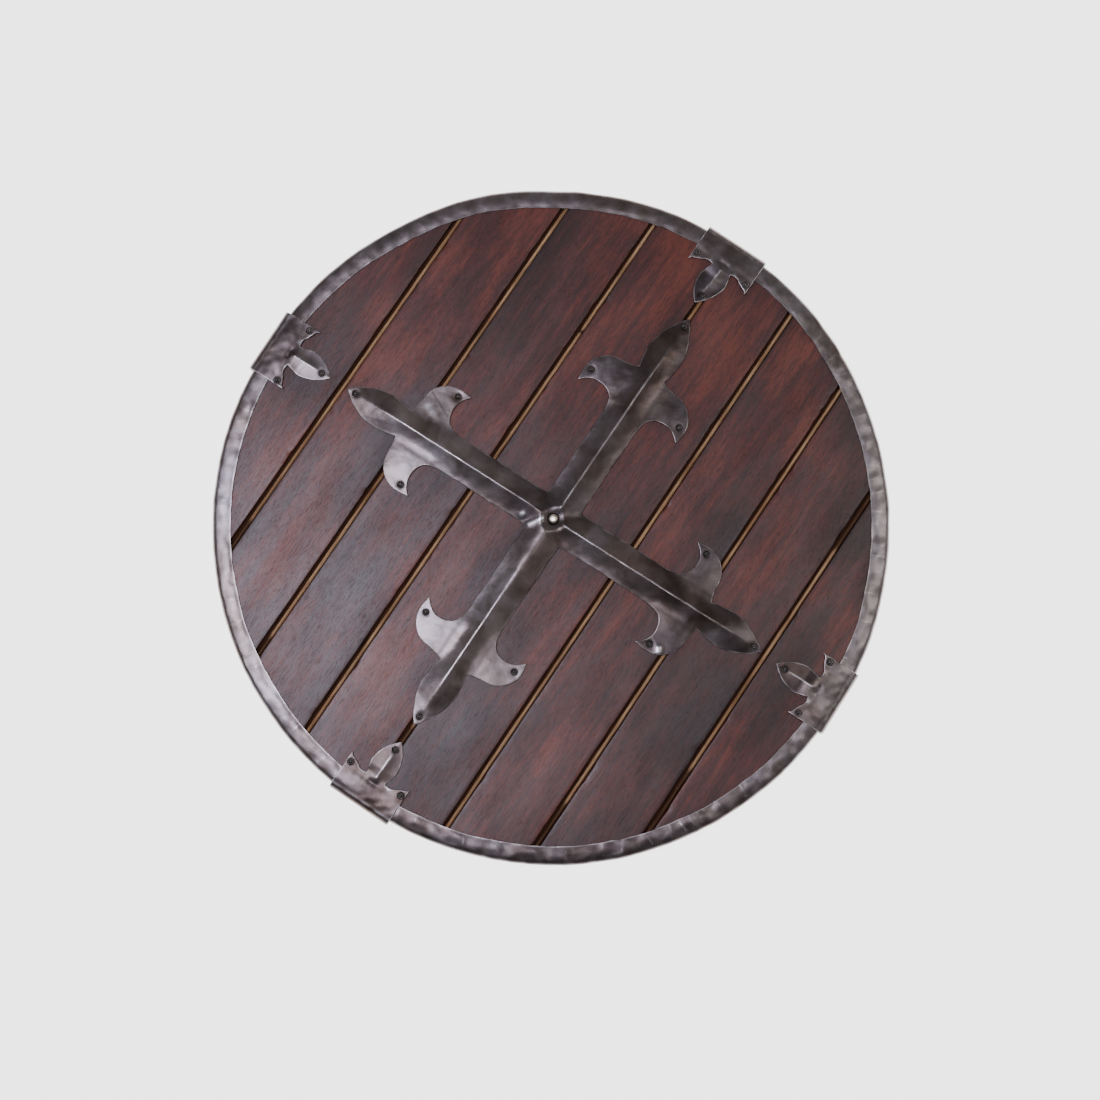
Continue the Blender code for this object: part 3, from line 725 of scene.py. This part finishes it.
def cross_patina_and_shade(x, y):
    """Patina and painted shade: darkest round the boss, on the arms rubbed least and lit least, and at a lobe's
    foot.
    """
    darkness = 0.25 * long_wave(x, y + 3) + 0.35 * np.exp(-(np.hypot(x, y) / 0.030) ** 2)
    for name, angle in directions.items():
        along, aside = from_arm(x, y, angle)
        near, far = arm_darkness[name]
        on_arm = smooth_step(along - 0.9 * np.abs(aside), -0.010, 0.010)
        on_leaf = smooth_step(along, 0.158, 0.180)
        towards_lobes = (far - near) * smooth_step(along, 0.050, 0.130)
        darkness = darkness + on_arm * (near + towards_lobes + 0.35 * (1 - far) * on_leaf)
    darkness = darkness + 0.45 * streak(x, y, *LOBE_FOOT, 0.0045)
    return np.clip(darkness, 0, 1)


def ring_of_shade_and_grime(points, nails, radius):
    """Dark ring at a nail's foot: grime and painted shade under the head's edge."""
    gap = nearest(points, nails) - radius
    return np.exp(-(np.clip(gap, 0, None) / 0.0004) ** 2) * 0.7


def add_cross(steel):
    """The cross, hammered over a ridge along each arm."""
    def grime(x, y, depth_in):
        # Grime and painted shade: rings at the nails and the stud, painted shadow along the arms' feet and in a
        # lobe's crease
        points = np.column_stack([x, y])
        stud = ring_of_shade_and_grime(points, [(0, 0)], STUD_RING)
        u, v = along_arms(x, y)
        offset = np.minimum(np.abs(u), np.abs(v))
        foot = 0.30 * np.exp(-((offset - ARM_HALF_WIDTH) / 0.0022) ** 2)
        crease = 0.6 * streak(x, y, *LOBE_CREASE, 0.0010)
        return np.clip(ring_of_shade_and_grime(points, nail_spots, NAIL_RING) + stud + foot + crease, 0, 1)

    def keep(x, y):
        return np.minimum(np.abs(x), np.abs(y)) < 0.060

    cross = sheet_piece("cross_sheet", cross_outline(), 0.00115, cross_surface, cross_wear_and_highlight, grime,
                        cross_patina_and_shade, steel, keep)
    settle(cross, "burnished_steel", "cross")


def clip_pattern(lean):
    """A clip's flat pattern, anticlockwise. u runs inwards from the front fold, v along the rim."""
    back = pi * CLIP_FOLD + CLIP_SIDE + CLIP_BACK_DEPTH - SHEET - CLIP_FOLD
    half = CLIP_HALF_WIDTH
    corner, root = (CLIP_PLATE - 0.0002, 0.0172), (CLIP_PLATE + 0.0001, 0.0098)
    side = [(-back, half), (-back / 2, half), (0, half), (CLIP_HORN / 2, half), (CLIP_HORN, half)]
    hollow = [(CLIP_HORN, half), (CLIP_PLATE + 0.0055, 0.0282), (CLIP_PLATE + 0.0040, 0.0245),
              (CLIP_PLATE + 0.0020, 0.0205), corner]
    neck = [corner, (CLIP_PLATE - 0.0007, 0.0135), root]
    leaf = [root, (CLIP_PLATE + 0.0070, 0.0118), (CLIP_TIP - 0.0240, 0.0130), (CLIP_TIP - 0.0130, 0.0100),
            (CLIP_TIP - 0.0050, 0.0050), (CLIP_TIP, 0.0005)]
    edge = joined_runs(*(spline(part, CUT_STEP) for part in (side, hollow, neck, leaf)))
    other = mirrored(edge)
    pattern = joined_runs(edge, other, spline([other[-1], edge[0]], CUT_STEP))[:-1][::-1]
    pattern[:, 1] += lean * smooth_step(pattern[:, 0], CLIP_PLATE, CLIP_TIP)
    return pattern


def add_clip(name, angle, seed, lean, darkness, leaf_age, steel):
    """One clip: plate over the rim, two horns, a ridged leaf and a folded back."""
    bend = pi / 2 * CLIP_FOLD
    waves, dents = ripples(seed, 0.026), ripples(seed + 50, 0.009)
    nails = np.array([HORN_NAIL, (HORN_NAIL[0], -HORN_NAIL[1]), (LEAF_NAIL, lean * 0.9)])

    def surface(u, v, depth):
        out = np.clip(-u, 0, None)
        front = np.clip(out / CLIP_FOLD, 0, pi / 2)
        down = np.clip(out - bend, 0, CLIP_SIDE)
        rear = np.clip((out - bend - CLIP_SIDE) / CLIP_FOLD, 0, pi / 2)
        inward = np.clip(out - 2 * bend - CLIP_SIDE, 0, None)
        flat = np.clip(u, 0, None)
        x = -CLIP_FOLD - flat + CLIP_FOLD * np.sin(front) - CLIP_FOLD * (1 - np.cos(rear)) - inward
        z = CLIP_HIGH - CLIP_FOLD * (1 - np.cos(front)) - down - CLIP_FOLD * np.sin(rear)
        z = z - smooth_step(u, 0.0235, 0.0345) * (CLIP_HIGH - CROSS_BOTTOM)
        turn = front + rear
        lift = SHEET - depth + clip_relief(u, v)
        x = x + np.sin(turn) * lift
        z = z + np.cos(turn) * lift
        px = CLIP_WALL + x
        return np.column_stack([px * cos(angle) - v * sin(angle), px * sin(angle) + v * cos(angle), z])

    def off_ridge(u, v):
        return v - lean * smooth_step(u, 0.022, CLIP_TIP)

    def clip_relief(u, v):
        plate = smooth_step(u, -0.001, 0.004)
        aside = np.abs(off_ridge(u, v))
        half = np.interp(u, (0.0225, 0.030, CLIP_TIP - 0.024, CLIP_TIP - 0.013, CLIP_TIP - 0.005, CLIP_TIP),
                         (0.0094, 0.0118, 0.0130, 0.0100, 0.0054, 0.0020))
        top = np.interp(u, (0.0150, 0.0235, 0.030, CLIP_TIP - 0.024, CLIP_TIP - 0.012, CLIP_TIP),
                        (0.0, 0.0009, 0.0013, 0.0013, 0.0008, 0.0003))
        across = (np.sqrt(aside ** 2 + 0.0004 ** 2) - 0.0004) / half
        leaf = positive(top * tent(across, 0.60), 0.0002)
        nailed = np.exp(-((u - nails[2, 0]) ** 2 + (v - nails[2, 1]) ** 2) / 0.0040 ** 2)
        leaf = leaf * (1 - 0.8 * nailed)
        dent = -0.0005 * streak(u, v, (0.0180, -0.003), (0.0180, 0.003), 0.0022)
        horn = 0.0009 * smooth_step(u, 0.020, 0.031) * smooth_step(np.abs(v), 0.014, 0.029)
        swell = 0.0005 * np.sin(np.clip(u / 0.019, 0, 1) * pi)
        rough = 0.00024 * waves(u, v) + 0.00010 * dents(u, v)
        rough = rough * (1 - 0.75 * smooth_step(u, 0.022, 0.030))
        return plate * np.maximum(leaf + horn + swell + dent + rough, -0.0002 - 0.0010 * (u < 0.024))

    def wear(u, v, depth_in):
        # Rubbed steel and painted highlights: the leaf's ridge, the cut edges, the front fold and the horns'
        # roots
        ridge = np.exp(-(off_ridge(u, v) / 0.00045) ** 2) * (u > 0.024)
        ridge = ridge * (1 - smooth_step(u, CLIP_TIP - 0.018, CLIP_TIP - 0.010))
        edge = np.exp(-(depth_in / 0.0005) ** 2) * (0.65 + 0.5 * dents(u + 1, v))
        fold = np.exp(-((u + 0.0006) / 0.0006) ** 2) * (0.35 + 0.4 * dents(u + 2, v))
        root = 0.8 * streak(u, np.abs(v), (0.0212, 0.0130), (0.0228, 0.0150), 0.0017)
        root = root * (waves(u, v + 4) > -0.2)
        return np.clip(ridge * 0.9 + np.clip(edge, 0, 1) + np.clip(fold, 0, 1) + root, 0, 1)

    def patina(u, v):
        on_leaf = smooth_step(u, 0.022, 0.028) * (np.abs(v) < 0.016)
        return np.clip(darkness + (leaf_age - darkness) * on_leaf + 0.30 * waves(u + 3, v), 0, 1)

    def grime(u, v, depth_in):
        # Grime and painted shade: rings at the nails, and painted shade along the dent across the plate
        fold = 0.25 * np.exp(-((u - 0.0165) / 0.002) ** 2) * (np.abs(v) < 0.012)
        return np.clip(ring_of_shade_and_grime(np.column_stack([u, v]), nails, NAIL_RING) + fold, 0, 1)

    piece = sheet_piece(f"clip_sheet_{name}", clip_pattern(lean), 0.0011, surface, wear, grime, patina, steel)
    settle(piece, "burnished_steel", f"rim_clip_{name}")


def rim_profile():
    """The folded strip's section from its front inner edge round to its back inner edge: (radius, z, normal)."""
    steps = 7
    middle = RIM_RADIUS - RIM_FOLD
    front = [(RIM_RADIUS - RIM_FRONT_WIDTH + d, RIM_TOP, pi / 2) for d in
             (0.0, 0.0005, 0.0012, 0.0025, 0.0040, 0.0055, 0.0070, 0.0085, 0.0100, 0.0113)]
    top = [(middle + RIM_FOLD * sin(a), RIM_TOP - RIM_FOLD + RIM_FOLD * cos(a), pi / 2 - a)
           for a in np.linspace(0, pi / 2, steps)]
    low = [(middle + RIM_FOLD * cos(a), RIM_BOTTOM + RIM_FOLD - RIM_FOLD * sin(a), -a)
           for a in np.linspace(0, pi / 2, steps)]
    back = [(RIM_RADIUS - RIM_BACK_WIDTH + d, RIM_BOTTOM, -pi / 2) for d in (0.008, 0.004, 0.0)]
    return np.array(front + top + low + back)


def turn_between(angle, middle):
    """The shortest turn from the middle to the angle."""
    return (angle - middle + pi) % (2 * pi) - pi


# Where the rim stands out of true: (angle round the shield, width, how far)
rim_bulges = [(-0.76, 0.30, 0.0018), (2.38, 0.14, 0.0017)]


def rim_wander(angle):
    """How far the rim stands out of true, less where a clip holds it in."""
    total = 0.0003 * np.sin(5 * angle + 1) + 0.0002 * np.sin(11 * angle)
    for middle, width, size in rim_bulges:
        total = total + size * np.exp(-(turn_between(angle, middle) / width) ** 2)
    for middle in directions.values():
        total = total - 0.0011 * np.exp(-(turn_between(angle, middle) / 0.16) ** 2)
    return total


def towards(angles, side):
    """1 at the side of the shield that a direction points to, and 0 at the side across from it."""
    return 0.5 + 0.5 * (side.x * np.cos(angles) + side.y * np.sin(angles))


def ring_points(angles, radius, height):
    return np.column_stack([radius * np.cos(angles), radius * np.sin(angles), height])


def add_rim(steel):
    """The folded rim, hammered flat from place to place, and worked hardest at the photo's bottom and right."""
    rng = np.random.default_rng(8)
    turns = 1440
    angles = np.arange(turns) / turns * 2 * pi
    along = angles * RIM_RADIUS
    cuts = np.cumsum(rng.uniform(0.007, 0.022, 200))
    cuts = cuts[cuts < along[-1]]
    facets = np.interp(along, cuts, rng.normal(0, 1, len(cuts)))
    tilts = np.interp(along, cuts, rng.normal(0, 1, len(cuts)))
    crease_sizes = rng.uniform(-0.3, 1, len(cuts)).clip(0, 1)
    crease_slants = rng.uniform(-0.35, 0.35, len(cuts))
    long_dents, round_dents, fine_dents = ripples(21, 0.040), ripples(22, 0.014), ripples(23, 0.006)
    wander = rim_wander(angles)
    level = np.zeros(turns)
    inner_wave = 0.0003 * ripples(24, 0.05)(along, level) + 0.00025 * ripples(25, 0.016)(along, level)
    low_side, right_side = towards(angles, -PHOTO_UP), towards(angles, PHOTO_RIGHT) ** 6
    worked = np.clip(0.2 + low_side ** 2 + 0.7 * right_side, 0, 1)
    near_left = np.exp(-(turn_between(angles, directions["left"]) / 0.40) ** 2)
    # Patina with painted shade: darkest at the side low in the view, a little dark at the high side and near the
    # left clip
    aged_and_shaded = 0.45 * low_side ** 3 + 0.55 * low_side ** 20 + 0.15 * (1 - low_side) ** 3 + 0.45 * near_left
    outer, inner, wear, patina = [], [], [], []
    for number, (radius, z, normal) in enumerate(rim_profile()):
        across = radius - (RIM_RADIUS - RIM_FRONT_WIDTH)
        on_front = float(np.clip((z - RIM_BOTTOM) / (RIM_TOP - RIM_BOTTOM), 0, 1)) ** 2
        level = np.full(turns, across)
        crease_places = cuts + crease_slants * (across - RIM_LIP_MIDDLE)
        creases = (crease_sizes * np.exp(-((along[:, None] - crease_places) / 0.0007) ** 2)).sum(1)
        creases = creases * worked * np.clip(0.6 + 0.8 * round_dents(along, level * 2 + 3), 0, 1.2)
        rough = 0.00022 * long_dents(along, level) + (0.00010 + 0.00012 * worked) * round_dents(along, level)
        rough = rough + 0.00003 * fine_dents(along, level) + 0.00012 * facets + 0.00014 * creases
        rough = rough + (0.012 + 0.016 * worked) * tilts * (across - RIM_LIP_MIDDLE)
        shift = on_front * (rough + 0.0005 * sin(pi * min(1.0, max(0.0, across / 0.0130))))
        if number < 3:
            shift = np.maximum(shift * 0.6, -0.0001)
        near_edge = max(0.0, 1 - across / 0.006) * on_front
        r = radius + wander + inner_wave * near_edge + shift * cos(normal)
        h = z + shift * sin(normal)
        outer.append(ring_points(angles, r, h))
        inner.append(ring_points(angles, r - SHEET * cos(normal), h - SHEET * sin(normal)))
        # Rubbed steel with painted highlights: the inner edge's two rows and the creases, and a painted
        # highlight over the front on the right of the view
        edge = {0: 0.60, 1: 0.30}.get(number, 0.0)
        rubbed_and_highlight = edge * (0.7 + 0.5 * round_dents(along, level + 1))
        rubbed_and_highlight = rubbed_and_highlight + (0.60 * creases * (across < 0.012) + 0.14 * right_side) * on_front
        wear.append(np.clip(rubbed_and_highlight, 0, 1))
        spots = (0.15 + 0.25 * worked) * round_dents(along, level * 1.5 + 4)
        patina.append(np.clip(aged_and_shaded + 0.20 * long_dents(along, level + 2) + spots, 0, 1))
    side = len(outer) * turns
    # The strip's inside is painted darker: grime and painted shade
    piece = add_piece("rim_strip", np.vstack(outer + inner[::-1]), quads(2 * len(outer), turns), steel, {
        "wear": np.concatenate(wear + [np.zeros(side)]), "grime": np.repeat([0.0, 0.4], side),
        "patina": np.concatenate(patina + [np.full(side, 0.6)])})
    piece.data.set_sharp_from_angle(angle=radians(50))
    point_outwards(piece)
    settle(piece, "burnished_steel", "rim")


def quads(rings, count, shut_rings=True, shut_each=True, first=0):
    """Faces between neighbouring rings of count points each. The last ring, or point, may meet the first."""
    faces = []
    for k in range(rings if shut_rings else rings - 1):
        a, b = first + k * count, first + (k + 1) % rings * count
        for i in range(count if shut_each else count - 1):
            j = (i + 1) % count
            faces.append((a + i, b + i, b + j, a + j))
    return faces


def point_outwards(piece):
    """Turns every face's front to the outside of the piece."""
    bm = bmesh.new()
    bm.from_mesh(piece.data)
    bmesh.ops.recalc_face_normals(bm, faces=bm.faces)
    bm.to_mesh(piece.data)
    bm.free()


# Where stain ran into a joint's bare strip: joint number from -X to stretches of y
stained_stretches = {
    1: [(-0.24, -0.15)], 2: [(-0.27, -0.225)], 4: [(-0.30, -0.22)],
    6: [(-0.29, -0.20)], 7: [(-0.22, -0.115), (0.12, 0.20)],
}
# Places where a strip is nicked across
strip_nicks = {3: [0.158], 4: [0.245], 6: [0.004]}


def eased_corner(edge, inwards):
    """A face's rounded corner from the joint's wall up to the face, as (x, z, kind)."""
    return [(edge + inwards * ARRIS * (1 - cos(a)), BOARD_TOP - ARRIS * (1 - sin(a)), "arris")
            for a in np.linspace(0, pi / 2, 5)]


def plank_profile(left, right):
    """A plank's section from its back, up its -X side and over its face, as (x, z, kind).

    left and right are the middles of its joints. None is the shield's edge.
    """
    if left is None:
        points = [(-BOARD_RADIUS + inwards, z, "back") for inwards, z in BOARD_SIDE[:-1]]
        face_start = -BOARD_RADIUS + BOARD_SIDE[-1][0]
    else:
        shoulder, cheek = left + FACE_GAP / 2, left - FACE_GAP / 2
        end = cheek - TONGUE_HOLD
        points = [(shoulder, BOARD_BOTTOM, "back"), (shoulder, TONGUE_BOTTOM, "back"),
                  (end, TONGUE_BOTTOM, "back"), (end, TONGUE_TOP, "back")]
        for x in np.linspace(cheek - 0.001, shoulder, 22):
            off = (x - left - BEAD_PLACE) / BEAD_HALF_WIDTH
            points.append((x, TONGUE_TOP + BEAD_HEIGHT * max(0.0, 1 - off * off), "tongue"))
        points += [(shoulder, BOARD_TOP - WALL_DROP, "wall")] + eased_corner(shoulder, 1)
        face_start = shoulder + ARRIS
    edge = BOARD_RADIUS if right is None else right - FACE_GAP / 2
    face_end = edge - (BOARD_SIDE[-1][0] if right is None else ARRIS)
    points += [(x, BOARD_TOP, "face") for x in np.linspace(face_start, face_end, 26)[1:-1]]
    if right is None:
        points += [(edge - inwards, z, "back") for inwards, z in BOARD_SIDE[::-1]]
    else:
        cheek = right + FACE_GAP / 2 - BACK_GAP
        end = edge - TONGUE_HOLD - GROOVE_SPACE
        groove_top, groove_low = TONGUE_TOP + SLIDE_GAP, TONGUE_BOTTOM - SLIDE_GAP
        points += eased_corner(edge, -1)[::-1]
        points += [(edge, BOARD_TOP - WALL_DROP, "wall"), (edge, groove_top, "wall"), (end, groove_top, "back"),
                   (end, groove_low, "back"), (cheek, groove_low, "back"), (cheek, BOARD_BOTTOM, "back")]
    return points + [(x, BOARD_BOTTOM, "back") for x in np.linspace(points[-1][0], points[0][0], 16)[1:-1]]


def bare_strip(joint, across, y, uneven):
    """How bare a joint's tongue is, across from the joint's middle and along y."""
    strip = smooth_step(across, -0.0009, -0.0001) * (1 - smooth_step(across, 0.0021, 0.0028))
    strip = strip * (0.9 + 0.2 * uneven)
    for low, high in stained_stretches.get(joint, []):
        hidden = smooth_step(y, low - 0.004, low + 0.004) * (1 - smooth_step(y, high - 0.004, high + 0.004))
        strip = strip * (1 - 0.85 * hidden)
    for nick in strip_nicks.get(joint, []):
        strip = strip * (1 - np.exp(-((y - nick) / 0.0022) ** 2))
    return np.clip(strip, 0, 1)


def add_plank(number, left, right, wood, bare_wood):
    """One board between two joints, a little cupped, with chipped corners and a tongue on its -X side."""
    rng = np.random.default_rng(40 + number)
    profile = plank_profile(left, right)
    cup, sway = ripples(60 + number, 0.09), ripples(80 + number, 0.05)
    chips = [(y, rng.choice([0, 1]), rng.uniform(0.002, 0.006), rng.uniform(0.0003, 0.0009))
             for y in rng.uniform(-0.27, 0.27, 12)]
    tone = rng.uniform(-0.05, 0.05)
    stations = 240
    spans = np.linspace(-1, 1, stations)
    xs = [x for x, _, _ in profile]
    middle = (min(xs) + max(xs)) / 2
    verts, bare, grime = [], [], []
    for x, z, kind in profile:
        from_face = min(BOARD_TOP - z, z - BOARD_BOTTOM)
        reach = BOARD_RADIUS - BOARD_EDGE_ROUND * max(0.0, 1 - from_face / 0.002)
        y = spans * np.sqrt(max(reach * reach - x * x, 1e-8))
        px, pz = np.full(stations, x), np.full(stations, z)
        if kind in ("face", "arris"):
            pz = pz + 0.00009 * cup(px, y * 0.4) - 0.00009
        if kind == "arris":
            side = 0 if x < middle else 1
            for place, chip_side, size, depth in chips:
                if chip_side == side:
                    hit = np.exp(-((y - place) / size) ** 2) * depth
                    px = px + hit * (1 - 2 * side)
                    pz = pz - hit * 0.6
            px = px + 0.00016 * sway(px, y)
        verts.append(np.column_stack([px, y, pz]))
        on_tongue = kind == "tongue"
        bare.append(bare_strip(number - 1, x - left, y, sway(y, px + 1)) if on_tongue else np.zeros(stations))
        # Joint walls and eased corners are painted darker: stain and painted shade of the deep joint
        grime.append(np.full(stations, {"wall": 0.75, "arris": 0.25}.get(kind, 0.0)))
    count = len(profile)
    faces = quads(count, stations, shut_each=False)
    faces.append([k * stations for k in range(count)])
    faces.append([k * stations + stations - 1 for k in reversed(range(count))])
    deep = [kind in ("tongue", "wall") for _, _, kind in profile]
    in_joint = [int(deep[k] and deep[(k + 1) % count]) for k in range(count) for _ in range(stations - 1)]
    piece = add_piece(f"plank_board_{number}", np.vstack(verts), faces, wood, {
        "bare": np.concatenate(bare), "grime": np.concatenate(grime),
        "shift": np.full(count * stations, number * 1.37), "tone": np.full(count * stations, tone)})
    piece.data.materials.append(bare_wood)
    piece.data.polygons.foreach_set("material_index", in_joint + [0, 0])
    point_outwards(piece)
    piece.data.set_sharp_from_angle(angle=radians(50))
    settle(piece, "stained_wood", f"plank_{number}")


def add_planks(wood, bare_wood):
    joints = [(k - PLANK_COUNT / 2) * PLANK_PITCH for k in range(1, PLANK_COUNT)]
    for number, (left, right) in enumerate(zip([None] + joints, joints + [None]), 1):
        add_plank(number, left, right, wood, bare_wood)


def add_nail(node, material, slot, head_radius, head_height, seed, crown=2, lean=None):
    """A dome head, a little uneven, on a short shank. A high crown number makes its top flatter."""
    low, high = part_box(node)
    x, y = (low.x + high.x) / 2, (low.y + high.y) / 2
    seat = high.z - head_height
    rng = np.random.default_rng(seed)
    rows, columns = 14, 36
    dents = ripples(seed + 300, head_radius * 1.6)
    lean = rng.uniform(-0.03, 0.03, 2) if lean is None else lean
    # A leaning head sits a little lower, so that its high side stays at the height of the real one
    sink = 0.32 * head_radius * hypot(lean[0], lean[1])
    shares = [sin(pi / 2 * k / rows) for k in range(1, rows + 1)]
    profile = [(head_radius * share, head_height * (1 - share ** crown)) for share in shares]
    profile += [(head_radius, -0.0001), (head_radius * 0.4, -0.0002), (head_radius * 0.38, low.z - seat)]
    angles = np.arange(columns) / columns * 2 * pi
    verts, grime = [(x, y, seat + head_height - sink)], [0.0]
    for radius, z in profile:
        px, py = radius * np.cos(angles), radius * np.sin(angles)
        uneven = 0.00006 * dents(px, py) * (z > 0)
        tilt = (lean[0] * px + lean[1] * py - sink) * z / head_height
        verts += zip(x + px, y + py, seat + z + uneven + tilt)
        # The stud's material paints shade from this: dark towards the head's edge
        grime += [smooth_step(radius, head_radius * 0.50, head_radius * 0.80)] * columns
    faces = [(0, 1 + i, 1 + (i + 1) % columns) for i in range(columns)]
    faces += quads(len(profile), columns, shut_rings=False, first=1)
    faces.append([len(verts) - columns + i for i in reversed(range(columns))])
    piece = add_piece(f"{node}_head", verts, faces, material, {"grime": grime})
    point_outwards(piece)
    piece.data.set_sharp_from_angle(angle=radians(60))
    settle(piece, slot, node)


def add_nails(dark_steel, bright_steel):
    for number, node in enumerate(sorted(n for n in frame["nodes"] if "nail" in n)):
        add_nail(node, dark_steel, "nail_steel", *NAIL_HEAD, number)
    add_nail("centre_stud", bright_steel, "stud_steel", *STUD_HEAD, 99, crown=4, lean=PHOTO_RIGHT * 0.16)


def add_floor():
    """A plain pale floor that glows a little, so that it stays even under the shield."""
    paint = Paint("pale floor", roughness=1.0)
    paint.set(Base_Color=(0.55, 0.55, 0.55), Specular_IOR_Level=0.0)
    paint.set(Emission_Color=(1.0, 1.0, 1.0), Emission_Strength=3.2)
    bpy.ops.mesh.primitive_plane_add(size=80, location=(0, 0, -0.0003))
    floor = bpy.context.object
    floor.name = "floor"
    floor.data.materials.append(paint.material)


def add_light(name, place, aim, size, power, colour):
    """A softbox at a place in photo axes (right, up, height), aimed at another."""
    def world(spot_in_photo):
        right, up, height = spot_in_photo
        return PHOTO_RIGHT * right + PHOTO_UP * up + Vector((0, 0, height))

    light = bpy.data.lights.new(name, "AREA")
    light.shape = "RECTANGLE"
    light.size, light.size_y = size
    light.energy = power
    light.color = colour
    lamp = bpy.data.objects.new(name, light)
    bpy.context.scene.collection.objects.link(lamp)
    lamp.location = world(place)
    lamp.rotation_mode = "QUATERNION"
    lamp.rotation_quaternion = (world(aim) - world(place)).to_track_quat("-Z", "Y")


# How bright the studio is, from the horizon (0) to straight up (1)
studio_levels = [(0.0, 1.50), (0.12, 0.80), (0.34, 0.32), (0.70, 0.23), (0.88, 0.17), (0.96, 0.12), (1.0, 0.10)]


def add_world():
    """A studio that is dim overhead, and cooler and a little dimmer towards the photo's lower left."""
    world = bpy.data.worlds.new("studio")
    bpy.context.scene.world = world
    world.use_nodes = True
    nodes = Nodes(world.node_tree)
    direction = nodes.add("ShaderNodeTexCoord", output="Generated")
    height = nodes.add("ShaderNodeSeparateXYZ", None, {0: direction}, output="Z")
    level = nodes.ramp(height, *((place, (tone, tone, tone)) for place, tone in studio_levels))
    lower_left = tuple(PHOTO_RIGHT * -0.85 + PHOTO_UP * -0.53)
    near_it = nodes.add("ShaderNodeVectorMath", {"operation": "DOT_PRODUCT"}, {0: direction, 1: lower_left},
                        output="Value")
    tint = nodes.ramp(near_it * 0.5 + 0.5, (0.15, (1.0, 0.93, 0.93)), (0.85, (0.92, 0.93, 1.0)))
    colour = nodes.add("ShaderNodeMix", {"data_type": "RGBA", "blend_type": "MULTIPLY"},
                       {0: 1.0, 6: level, 7: tint}, output=2)
    background = world.node_tree.nodes["Background"]
    nodes.feed(background.inputs["Color"], colour)
    nodes.feed(background.inputs["Strength"], 1 - near_it * 0.18)


def add_camera():
    """The photo's camera, tipped a little off straight down."""
    ahead = PHOTO_UP * sin(CAMERA_TILT) - Vector((0, 0, cos(CAMERA_TILT)))
    above = PHOTO_UP * cos(CAMERA_TILT) + Vector((0, 0, sin(CAMERA_TILT)))
    turn = Matrix((PHOTO_RIGHT, above, -ahead)).transposed().to_4x4()
    data = bpy.data.cameras.new("camera")
    data.lens = LENS
    data.sensor_width = SENSOR
    camera = bpy.data.objects.new("camera", data)
    bpy.context.scene.collection.objects.link(camera)
    camera.matrix_world = Matrix.Translation(CAMERA_PLACE) @ turn
    bpy.context.scene.camera = camera


wood = stained_wood()
steel = burnished_steel()
add_planks(wood, joint_wood())
add_rim(steel)
# Each clip's lean of the leaf, and how dark its plate and its leaf are painted
clip_details = {
    "right": (0.0, 0.10, 1.0), "top": (0.0030, 0.25, 1.0),
    "left": (-0.0008, 0.80, 0.38), "bottom": (0.0005, 0.75, 0.85),
}
for seed, (name, angle) in enumerate(directions.items()):
    add_clip(name, angle, 30 + seed, *clip_details[name], steel)
add_cross(steel)
add_nails(nail_steel(), stud_steel())
add_floor()
add_world()
add_light("left softbox", (-0.58, 0.02, 1.60), (-0.10, 0, 0), (0.58, 0.68), 10.0, (0.84, 0.83, 1.0))
add_light("right softbox", (0.76, 0.10, 1.45), (0.05, 0, 0), (0.30, 0.80), 1.9, (1.0, 0.95, 0.93))
add_light("lower softbox", (-0.15, -0.31, 1.55), (-0.15, 0, 0), (0.55, 0.20), 1.45, (0.95, 0.90, 1.0))
add_camera()
